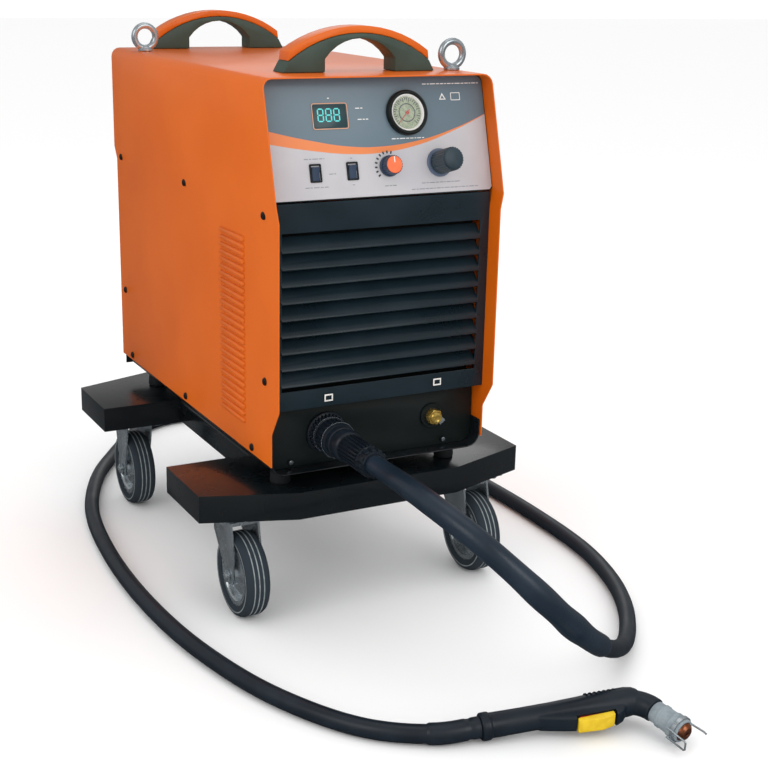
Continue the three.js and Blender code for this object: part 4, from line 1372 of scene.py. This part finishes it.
    def print_marks(self) -> None:
        """Neutral printed marks: plain bars and symbols that carry no words."""
        pale, dark = [], []
        for x, rise, length in ((121, 153, 92), (-26, 122.6, 12), (-22, 107.5, 16), (45, 79.5, 52),
                                (-71, 137, 3)):
            pale.append(self.bar(x, rise, length, 1.2))
        for x, rise, length in ((-101, 57, 30), (-101, 19, 34), (-76, 36, 10), (-46, 56, 3), (-46, 20, 3),
                                (10, 16, 18), (90, 17, 62), (96, 9, 108)):
            dark.append(self.bar(x, rise, length, 1.1))
        triangle = [(105 + 6.2 * math.sin(a), 134 + 6.2 * math.cos(a))
                    for a in (0, 2 * math.pi / 3, 4 * math.pi / 3)]
        sign = Bench.plate("sign", triangle, 0.3, self.at(0, 0, 0.75))
        hollow = [(105 + 3.6 * math.sin(a), 134 + 3.6 * math.cos(a))
                  for a in (0, 2 * math.pi / 3, 4 * math.pi / 3)]
        pale.append(Bench.cut(sign, Bench.plate("cutter", hollow, 3, self.at(0, 0, 2))))
        pale.append(self.frame_ring("book", 7.6, 5.4, 1.2, 0.9, 0.3, self.at(126, 135, 0.75)))
        fit(Bench.joined("pale_marks", pale), PRINT_WHITE)
        fit(Bench.joined("dark_marks", dark), PRINT_MID)

    def bar(self, x: float, rise: float, length: float, width: float) -> bpy.types.Object:
        """A thin printed bar, broken into short strokes."""
        strokes, start, i = [], -length / 2, 0
        while start < length / 2:
            end = min(start + self.strokes[i % len(self.strokes)], length / 2)
            outline = [(start, -width / 2), (end, -width / 2), (end, width / 2), (start, width / 2)]
            strokes.append(Bench.plate("stroke", outline, 0.3, self.at(x, rise, 0.7)))
            start, i = end + 1.6, i + 1
        return Bench.joined("bar", strokes)


LABEL = Label("printed_label_film", "label_film", "BDBBBE", "B8B6BA", 60, 0.3, 0.06, 2.0, 0.03)
LOCK_RING = Finish("lock_ring_nylon", "black_plastic", "57657A", "4E5B70", 20, 0.35, 0.08, 0.6, 0.08)
REGULATOR = Finish("regulator_nylon", "black_plastic", "2A3B45", "23333C", 20, 0.36, 0.1, 0.6, 0.1)
PRINT_MID = Finish("grey_print", "label_film", "8B8C92", "84858B", 30, 0.4, 0.05, 1.0, 0.02)


# ---------------------------------------------------------------- front sockets


@dataclass(frozen=True)
class TorchConnector:
    """Panel socket, coupling ring and the ribbed connector on the cable."""

    ribs: int = 24
    shell: float = 20.5
    shell_end: float = 152.0

    def build(self) -> None:
        """Makes the connector's pieces along the coupling's axis."""
        axis = joint_axis("coupling_turn")
        base = facing(Vector((0, axis.y, 0)).normalized() * (1 if axis.y < 0 else -1),
                      joint_place("coupling_turn"))
        self.socket(base)
        self.coupling(base)
        self.connector(base)

    def ribbed(self, name: str, core: bpy.types.Object, base: Matrix, count: int, radius: float,
               rib: tuple[float, float, float, float]) -> bpy.types.Object:
        """Adds lengthwise ribs round a turned core.

        Args:
            name: Name of the joined piece.
            core: The turned core.
            base: Placement of the axis.
            count: Number of ribs.
            radius: Radius of the rib's foot.
            rib: Width, height, and the two ends along the axis.

        Returns:
            Core and ribs as one piece.
        """
        width, height, start, end = rib
        master = Bench.block("rib", (radius - 1, -width / 2, start), (radius + height, width / 2, end), 0.5)
        parts = [core]
        for i in range(count):
            turn = base @ Matrix.Rotation(2 * math.pi * i / count, 4, "Z")
            parts.append(Bench.copied(master, f"{name}_{i}", turn))
        bpy.data.objects.remove(master)
        return Bench.joined(name, parts)

    def socket(self, base: Matrix) -> None:
        """Flange and cone on the panel."""
        core = Bench.turned("torch_socket_body", [(0, -20), (17.2, -20), (17.2, 0.3), (29.2, 0.3),
                                                  (30, 1.2), (30, 5.4), (29, 6.4), (26.8, 7.4), (25.4, 14),
                                                  (0, 14)], base, 64)
        core = self.ribbed("torch_socket_body", core, base, 30, 26.0, (2.4, 2.4, 6.0, 12.6))
        fit(core, TORCH_NYLON, stands_for=("torch_socket",))

    def coupling(self, base: Matrix) -> None:
        """Grip ring with two bright bands."""
        core = Bench.turned("coupling_ring_body", [(17.95, 14.4), (25.4, 14.4), (26, 15.2), (26, 18.6),
                                                   (24.6, 19.6), (24.6, 39.5), (25.8, 40.5), (25.8, 44),
                                                   (24.2, 48.1), (17.95, 48.1), (17.95, 14.4)], base, 64)
        core = self.ribbed("coupling_ring_body", core, base, self.ribs, 24.3, (3.0, 1.4, 20.4, 39.0))
        fit(core, TORCH_NYLON, "coupling", ("coupling_ring",))
        bands = [Bench.turned("band", [(25.2, h), (26.3, h), (26.3, h + 1.2), (25.2, h + 1.2), (25.2, h)],
                              base, 64)
                 for h in (16.2, 41.8)]
        fit(Bench.joined("coupling_bands", bands), ZINC, "coupling")

    def connector(self, base: Matrix) -> None:
        """Backshell with ribs, then the notched gland nut."""
        r = self.shell
        profile = [(0, 14.5), (17.5, 14.5), (17.5, 48.6), (r + 1.2, 48.6), (r + 2, 49.6), (r + 2, 56),
                   (r + 0.8, 57), (r + 0.8, 60), (r + 2, 61), (r + 2, 74), (r + 0.4, 77.5), (r - 1.6, 79),
                   (r - 2.2, 131), (r - 0.6, 133.5), (r - 0.6, 135), (r - 2.6, 136.5), (r - 2.6, 149),
                   (r - 4, self.shell_end), (0, self.shell_end)]
        core = Bench.turned("torch_connector_body", profile, base, 64)
        core = self.ribbed("torch_connector_body", core, base, self.ribs, r - 2.0, (2.5, 1.8, 79.5, 131.5))
        core = self.ribbed("torch_connector_body", core, base, 12, r - 2.8, (6.0, 2.6, 137.0, 150.0))
        fit(core, TORCH_NYLON, stands_for=("torch_connector",))


@dataclass(frozen=True)
class WorkSocket:
    """Brass work stud in a dark ring, with its small metal tab."""

    hexagon: float = 12.2
    ring: float = 18.4

    def build(self) -> None:
        """Makes ring, stud and tab."""
        low, high = node_box("work_stud")
        centre = (low + high) / 2
        face = node_box("connector_panel")[0].y + 4
        base = facing(Vector((0, -1, 0)), (centre.x, face, centre.z))
        r = self.ring
        ring = Bench.turned("work_socket_ring", [(13.2, -1), (r + 0.4, -1), (r + 0.4, 3.6), (r - 0.6, 4.8),
                                                 (14.4, 4.8), (13.2, 3.4), (13.2, -1)], base, 56)
        fit(ring, BLACK_ABS)
        nut = Bench.primitive(bpy.ops.mesh.primitive_cylinder_add, "work_stud_body", vertices=6,
                              radius=self.hexagon * MM, depth=10.5 * MM, location=(0, 0, 9.6 * MM))
        nut = Bench.soften(Bench.place(nut, base @ Matrix.Rotation(0.3, 4, "Z")), 1.0)
        stud = Bench.turned("stud", [(0, 4.4), (10.6, 4.4), (10.6, 5.0), (8.8, 5.4), (8.8, 15.6),
                                     (9.4, 16.2), (9.4, 17.4), (8.0, 19.2), (5.0, 19.9), (3.4, 18.9),
                                     (0, 18.7)], base, 40)
        fit(Bench.joined("work_stud_body", [nut, stud]), BRASS, stands_for=("work_stud",))
        tab = Bench.plate("work_stud_tab", [(-3, -5), (3, -5), (4, 5), (-4, 5)], 1.2,
                          Matrix.Translation((centre.x + 17, face - 3.4, centre.z - 11))
                          @ Matrix.Rotation(0.8, 4, "Y"), 0.4)
        fit(tab, ZINC)


# ---------------------------------------------------------------- trolley


@dataclass(frozen=True)
class Trolley:
    """Two decks on two rails."""

    bolt: HexBolt = HexBolt(10.0, 4.5, 8.5)

    def build(self) -> None:
        """Makes decks, rails and the bolts that hold the rails."""
        for node in ("trolley_front_deck", "trolley_rear_deck"):
            fit(Bench.from_node(node, 1.6, 3), BLACK_ENAMEL, stands_for=(node,))
        rails = [name for name in frame["nodes"] if "rail" in name]
        for node in rails:
            fit(Bench.from_node(node, 1.2), BLACK_ENAMEL, stands_for=(node,))
        heads = []
        for node in rails:
            low, high = node_box(node)
            x = (low.x + high.x) / 2
            heads += [self.bolt.head("head", facing(Vector((0, 0, -1)), (x, y, low.z)))
                      for y in (low.y + 14, low.y + 40, high.y - 40, high.y - 14)]
        fit(Bench.joined("rail_bolts", heads), ZINC)


@dataclass(frozen=True)
class Castor:
    """One castor: pressed fork, axle bolt, domed hub and banded tyre."""

    name: str
    swivels: bool
    bore: float = 6.3
    rim: float = 45.0
    tread: float = 62.2
    half_width: float = 18.0
    lines: tuple[float, ...] = (-7.0, 0.0, 7.0)

    def build(self) -> None:
        """Makes the castor's pieces, each on its own body."""
        fork_body = f"{self.name}_swivel" if self.swivels else ROOT
        fit(Bench.from_node(f"{self.name}_castor_fork", 0.9), ZINC, fork_body,
            (f"{self.name}_castor_fork",))
        if self.swivels:
            fit(Bench.from_node(f"{self.name}_castor_plate", 0.6), ZINC, ROOT,
                (f"{self.name}_castor_plate",))
        self.plate_nuts()
        low, high = node_box(f"{self.name}_rim")
        base = facing(Vector((1, 0, 0)), (low + high) / 2)
        self.axle(base, fork_body)
        self.wheel(base)

    def plate_nuts(self) -> None:
        """Four nuts under the mounting plate."""
        node = f"{self.name}_castor_plate" if self.swivels else f"{self.name}_castor_fork"
        low, high = node_box(node)
        nut = HexBolt(10.0, 4.2, 7.4)
        middle_y, reach = (low.y + high.y) / 2, (41.0 if self.swivels else 38.5)
        spots = [(x, middle_y + dy) for x in (low.x + 10, high.x - 10) for dy in (-reach, reach)]
        heads = [nut.head("nut", facing(Vector((0, 0, -1)), (x, y, high.z - 3.0))) for x, y in spots]
        fit(Bench.joined(f"{self.name}_plate_nuts", heads), ZINC)

    def axle(self, base: Matrix, body: str) -> None:
        """Axle bolt with a nut and a rounded end on each side."""
        shank = Bench.turned("shank", [(0, -29.4), (4.2, -29.4), (5.8, -28.4), (5.9, 28.4), (4.2, 29.4),
                                       (0, 29.4)], base, 32)
        parts = [shank]
        for hand in (-1, 1):
            nut = Bench.primitive(bpy.ops.mesh.primitive_cylinder_add, "nut", vertices=6, radius=9.6 * MM,
                                  depth=4.6 * MM, location=(0, 0, hand * 25.1 * MM))
            parts.append(Bench.soften(Bench.place(nut, base), 0.9))
        fit(Bench.joined(f"{self.name}_axle_bolt", parts), ZINC, body, (f"{self.name}_axle",))

    def wheel(self, base: Matrix) -> None:
        """Zinc rim with its stepped dome, the tyre and its pale lines."""
        r, w = self.rim, self.half_width
        half = [(self.bore + 0.2, w + 0.4), (12.6, w + 0.4), (14.2, w - 0.4), (15.2, w - 4.4),
                (21, w - 5.6), (28, w - 8), (33.4, w - 11.4), (35.2, w - 11.6), (36.6, w - 5),
                (38.4, w - 3), (r, w - 3)]
        ring = half + [(radius, -height) for radius, height in reversed(half)]
        body = f"{self.name}_wheel"
        rim = Bench.turned(f"{self.name}_rim_body", [*ring, ring[0]], base, 72)
        fit(rim, ZINC, body, (f"{self.name}_rim",))
        t = self.tread
        edge = [(r + 0.3, w - 2), (50, w - 0.4), (52, w), (57, w), (59.4, w - 1.6), (61.2, w - 4.6),
                (t, w - 8)]
        tread = edge + [(radius, -height) for radius, height in reversed(edge)]
        tyre = Bench.turned(f"{self.name}_tyre_body", [*tread, tread[0]], base, 84)
        fit(tyre, TYRE, body, (f"{self.name}_tyre",))
        bands = [Bench.turned("band", [(t - 1, h - 0.8), (t + 0.12, h - 0.8), (t + 0.12, h + 0.8),
                                       (t - 1, h + 0.8), (t - 1, h - 0.8)], base, 84) for h in self.lines]
        for hand in (-1, 1):
            bands.append(Bench.turned("band", [(53.6, hand * (w - 0.6)), (55.0, hand * (w - 0.6)),
                                               (55.0, hand * (w + 0.12)), (53.6, hand * (w + 0.12)),
                                               (53.6, hand * (w - 0.6))], base, 84))
        fit(Bench.joined(f"{self.name}_tyre_lines", bands), TYRE_LINE, body)


# ---------------------------------------------------------------- rear and insides


@dataclass(frozen=True)
class Rear:
    """Rear panel with fan, guard, mains switch, cable gland and gas inlet."""

    guard_radii: tuple[float, ...] = (22.0, 36.0, 50.0, 64.0, 77.0)
    guard_wire: float = 1.6
    screws: tuple[tuple[float, float], ...] = (
        (-160, 740), (160, 740), (-160, 500), (160, 500), (-160, 240), (160, 240), (0, 748), (0, 240),
    )

    def build(self) -> None:
        """Makes the rear's pieces."""
        fit(Bench.from_node("rear_panel", 0.5), BLACK_ENAMEL, stands_for=("rear_panel",))
        fit(Bench.from_node("fan_rotor", 0.8), BLACK_ABS, "fan", ("fan_rotor",))
        fit(Bench.from_node("mains_switch_lever", 0.9), BLACK_ABS, "mains_lever", ("mains_switch_lever",))
        face = node_box("rear_panel")[0].y + 2.0
        self.guard(joint_place("fan_spin"))
        self.gland()
        PanScrew().batch("rear_panel_screws", [(x, face, z) for x, z in self.screws], Vector((0, 1, 0)),
                         BLACK_SCREW)
        self.gas_inlet(face)

    def guard(self, centre: Vector) -> None:
        """Wire rings over the fan opening."""
        place = Vector((centre.x, node_box("rear_panel")[0].y + 3.4, centre.z))
        rings = []
        for radius in self.guard_radii:
            ring = Bench.primitive(bpy.ops.mesh.primitive_torus_add, "ring", major_radius=radius * MM,
                                   minor_radius=self.guard_wire * MM, major_segments=64, minor_segments=10)
            rings.append(Bench.place(ring, facing(Vector((0, 1, 0)), place)))
        fit(Bench.joined("fan_guard_rings", rings), ZINC)

    def gland(self) -> None:
        """Dome-nut cable gland with a fluted nut."""
        low, high = node_box("mains_cable_gland")
        centre = (low + high) / 2
        r = (high.x - low.x) / 2
        face = node_box("rear_panel")[0].y
        base = facing(Vector((0, 1, 0)), (centre.x, face, centre.z))
        profile = [(0, 4), (8, 4), (8, 24), (r - 5, 23.6), (r - 2.4, 20), (r - 1.4, 12), (r - 1.4, 8),
                   (r, 7), (r, 2.4), (r - 4.4, 2.4), (r - 4.4, -8), (0, -8)]
        core = Bench.turned("gland_body", profile, base, 48)
        core = TorchConnector().ribbed("gland_body", core, base, 16, r - 2, (2.6, 1.6, 8, 17))
        fit(core, BLACK_ABS, stands_for=("mains_cable_gland",))

    def gas_inlet(self, face: float) -> None:
        """Brass hose inlet with two barbs, and its hexagon."""
        base = facing(Vector((0, 1, 0)), (20, face, 300))
        nut = Bench.primitive(bpy.ops.mesh.primitive_cylinder_add, "nut", vertices=6, radius=9.2 * MM,
                              depth=6 * MM, location=(0, 0, 3 * MM))
        parts = [Bench.soften(Bench.place(nut, base), 0.8)]
        parts.append(Bench.turned("barb", [(0, 5), (5, 5), (5, 8), (4.4, 8.4), (5.4, 11), (4.4, 11.2),
                                           (5.2, 14), (4.2, 14.2), (4.6, 17), (3, 18), (3, 12), (0, 12)],
                                  base, 32))
        fit(Bench.joined("gas_inlet", parts), BRASS)


@dataclass(frozen=True)
class Insides:
    """Transformer, heat sink and power board seen through the louvres."""

    board: tuple[float, float, float] = (150.0, 200.0, 1.6)

    def build(self) -> None:
        """Makes the inner assemblies."""
        fit(Bench.from_node("heat_sink", 0.4), ALUMINIUM, stands_for=("heat_sink",))
        self.transformer()
        self.power_board()

    def transformer(self) -> None:
        """Laminated core with a layered winding."""
        low, high = node_box("transformer")
        cx, cy, cz = (low + high) / 2
        lams = [Bench.block("lamination", (low.x, cy - 23 + i * 5.8, low.z),
                            (high.x, cy - 23 + i * 5.8 + 5.2, high.z), 0.5)
                for i in range(8)]
        fit(Bench.joined("transformer_core", lams), CORE, stands_for=("transformer",))
        coils = [Bench.block("turn", (cx - 33, low.y, cz - 35 + i * 7),
                             (cx + 33, high.y, cz - 35 + i * 7 + 6.6), 2.6)
                 for i in range(10)]
        fit(Bench.joined("transformer_winding", coils), WINDING)

    def power_board(self) -> None:
        """Board on spacers over the heat sink, with capacitors and power modules."""
        low, high = node_box("heat_sink")
        cx, cy = (low.x + high.x) / 2, (low.y + high.y) / 2
        w, d, t = self.board
        foot = high.z + 10
        board = Bench.block("power_board", (cx - w / 2, cy - d / 2, foot),
                            (cx + w / 2, cy + d / 2, foot + t), 0.3)
        fit(board, CIRCUIT_GREEN)
        spacers = [Bench.turned("spacer", [(0, -10), (4, -10), (4, 0), (0, 0)],
                                Matrix.Translation((cx + sx * (w / 2 - 8), cy + sy * (d / 2 - 8), foot)), 6)
                   for sx in (-1, 1) for sy in (-1, 1)]
        fit(Bench.joined("board_spacers", spacers), BRASS)
        cans = [Bench.turned("can", [(0, t), (14.6, t), (15, t + 1), (15, 42), (14, 43), (12.6, 43),
                                     (12.2, 42.2), (0, 42.2)],
                             Matrix.Translation((cx - 40 + 40 * i, cy - 60, foot)), 32) for i in range(3)]
        fit(Bench.joined("board_capacitors", cans), BLUE_NYLON)
        modules = [Bench.block("module", (cx - 62 + 44 * i, cy - 10, foot + t),
                               (cx - 28 + 44 * i, cy + 50, foot + t + 16), 1.5)
                   for i in range(3)]
        fit(Bench.joined("power_modules", modules), BLACK_ABS)


# ---------------------------------------------------------------- torch


@dataclass(frozen=True)
class Torch:
    """Hand torch: moulded handle, trigger under a flap, cup, nozzle and stand-off."""

    place: tuple[float, float, float] = (-67.0, -477.0, 17.8)
    turns: tuple[float, float, float] = (-77.2, -4.1, -14.4)
    radius: float = 17.5
    length: float = 209.0
    neck: float = 15.5
    bend: float = 65.0
    bend_radius: float = 39.2
    head: float = 78.0
    ridges: int = 7
    loop_turn: float = 0.0

    def build(self) -> None:
        """Makes the torch's pieces."""
        x, y, z = (math.radians(v) for v in self.turns)
        base = (Matrix.Translation(self.place) @ Matrix.Rotation(z, 4, "Z") @ Matrix.Rotation(y, 4, "Y")
                @ Matrix.Rotation(x, 4, "X"))
        self.handle(base)
        self.back_ridges(base)
        fit(Bench.from_node("torch_trigger", 1.0, 3), TRIGGER_RED, "trigger", ("torch_trigger",))
        fit(Bench.from_node("torch_safety_flap", 1.4, 3), FLAP_YELLOW, "safety_flap",
            ("torch_safety_flap",))
        elbow = Matrix.Rotation(math.radians(90 + self.bend), 4, "Y")
        tip = base @ Matrix.Translation((self.length, 0, 0)) @ elbow
        self.cup(tip)
        self.stand_off(tip)

    def along(self, base: Matrix) -> Matrix:
        """Frame whose local Z runs along the handle."""
        return base @ Matrix.Rotation(math.pi / 2, 4, "Y")

    def handle(self, base: Matrix) -> None:
        """Barrel, guard and bent neck, blended as one moulding, then the pocket cut into it."""
        r = self.radius
        barrel = Bench.turned("torch_handle_body", [(0, 0), (r - 1.4, 0), (r - 0.2, 1.2), (r, 10.6),
                                                    (r - 0.6, 11.4), (r - 1.9, 12.6), (r - 2.2, 50),
                                                    (r - 2, 90), (r - 1, 125), (r, 150), (r + 1, 178),
                                                    (r + 1, 190), (r - 0.5, 200), (r - 3.4, 206), (0, 208)],
                              self.along(Matrix.Identity(4)), 72)
        outline = [(68, -8), (72, -14.4), (104, -22.6), (116, -25.2), (170, -27.6), (179, -23), (192, -8)]
        guard = Bench.plate("guard", outline, 23, Matrix.Translation((0, -11.5, 0)), 4.0)
        start = self.length - 25
        neck = Bench.primitive(bpy.ops.mesh.primitive_torus_add, "neck", major_segments=96,
                               minor_segments=48, major_radius=self.bend_radius * MM,
                               minor_radius=self.neck * MM, rotation=(math.pi / 2, 0, 0),
                               location=(start * MM, 0, -self.bend_radius * MM))
        Bench.place(neck, Matrix.Identity(4))
        Bench.cut(neck, Bench.block("behind", (start - 90, -40, -130), (start - 4, 40, 60)))
        beyond = Bench.block("beyond", (0.5, -40, -130), (120, 40, 130))
        swing = Matrix.Rotation(math.radians(self.bend), 4, "Y")
        turn = Matrix.Translation((start, 0, -self.bend_radius)) @ swing
        Bench.cut(neck, Bench.place(beyond, turn))
        whole = Bench.joined("torch_handle_body", [barrel, guard, neck])
        Bench.apply(whole, "REMESH", mode="VOXEL", voxel_size=1.0 * MM)
        Bench.apply(whole, "SMOOTH", factor=0.5, iterations=7)
        Bench.cut(whole, Bench.block("pocket", (117.6, -8.3, -24), (168.4, 8.3, -10)))
        Bench.cut(whole, Bench.block("window", (117.0, -15, -40), (168.4, 15, -19.6)))
        fit(Bench.smooth(Bench.place(whole, base), 50), TORCH_NYLON, stands_for=("torch_handle",))

    def back_ridges(self, base: Matrix) -> None:
        """Grip ridges over the back of the handle."""
        rings = []
        for i in range(self.ridges):
            x = 140 + 6.2 * i
            ring = Bench.primitive(bpy.ops.mesh.primitive_torus_add, "ridge",
                                   major_radius=(self.radius + 0.45) * MM, minor_radius=1.1 * MM,
                                   major_segments=48, minor_segments=10, rotation=(0, math.pi / 2, 0),
                                   location=(x * MM, 0, 0))
            rings.append(Bench.place(ring, Matrix.Identity(4)))
        whole = Bench.cut(Bench.joined("handle_ridges", rings),
                          Bench.block("half", (130, -30, -30), (190, 30, 6)))
        fit(Bench.place(whole, base), TORCH_NYLON)

    def cup(self, tip: Matrix) -> None:
        """Shield cup with its step ring, and the copper nozzle."""
        seat = self.head - 18
        cup = Bench.turned("shield_cup_body", [(0, 26.3), (13.2, 26.3), (13.8, 27.2), (13.8, 36),
                                               (15.2, 37), (15.2, 41), (14.2, 42), (14.8, 54), (16, 55.4),
                                               (16, 61), (15.2, 62.2), (15.4, 71), (14.8, 72), (12.6, 72),
                                               (12.6, seat), (0, seat)], tip, 56)
        fit(cup, CUP_GREY, stands_for=("shield_cup",))
        nozzle = Bench.turned("nozzle_body", [(0, seat + 0.3), (11.8, seat + 0.3), (12, 70), (12, 73),
                                              (10.6, 75.6), (8, 77.8), (3.2, 78), (2.5, 77.4), (2.5, 70),
                                              (0, 70)], tip, 48)
        fit(nozzle, COPPER, stands_for=("nozzle",))

    def stand_off(self, tip: Matrix) -> None:
        """Bent wire loop and prong that keep the tip off the work."""
        rim = Bench.turned("rim", [(16.1, 63), (17.3, 63.6), (17.3, 68.4), (16.1, 69), (16.1, 63)], tip, 48)
        reach, out = self.head + 12, 17.2
        loop = [(out, -7, 60), (out, -7, 66), (out + 1, -7, reach - 2), (out + 1, -5, reach),
                (out + 1, 5, reach), (out + 1, 7, reach - 2), (out, 7, 66), (out, 7, 60)]
        prong = [(-out, 0, 60), (-out, 0, 66), (-out - 2, 0, reach - 2), (-out - 1, 0, reach + 2)]
        parts = [rim]
        for name, points, turn in (("loop", loop, self.loop_turn), ("prong", prong, self.loop_turn)):
            frame_turn = tip @ Matrix.Rotation(math.radians(turn), 4, "Z")
            line = [(frame_turn @ Vector(point)) * MM for point in points]
            parts.append(Lead().meshed(Lead().tube(name, line, [1.25] * len(line))))
        fit(Bench.joined("stand_off_wire", parts), ZINC)


def main() -> None:
    """Builds every sub-assembly in order."""
    logging.basicConfig(level=logging.INFO, format="%(message)s")
    Studio().build()
    Lead().build()
    Housing().build()
    Handle("front_handle").build()
    Handle("rear_handle").build()
    EyeBolt("eye_bolt_front").build()
    EyeBolt("eye_bolt_rear").build()
    FrontPanels().build()
    Fascia().build()
    TorchConnector().build()
    WorkSocket().build()
    Trolley().build()
    for name in ("front_left", "front_right", "rear_left", "rear_right"):
        Castor(name, name.startswith("front")).build()
    Rear().build()
    Insides().build()
    Torch().build()
    bpy.context.view_layer.update()


if __name__ == "__main__":
    main()
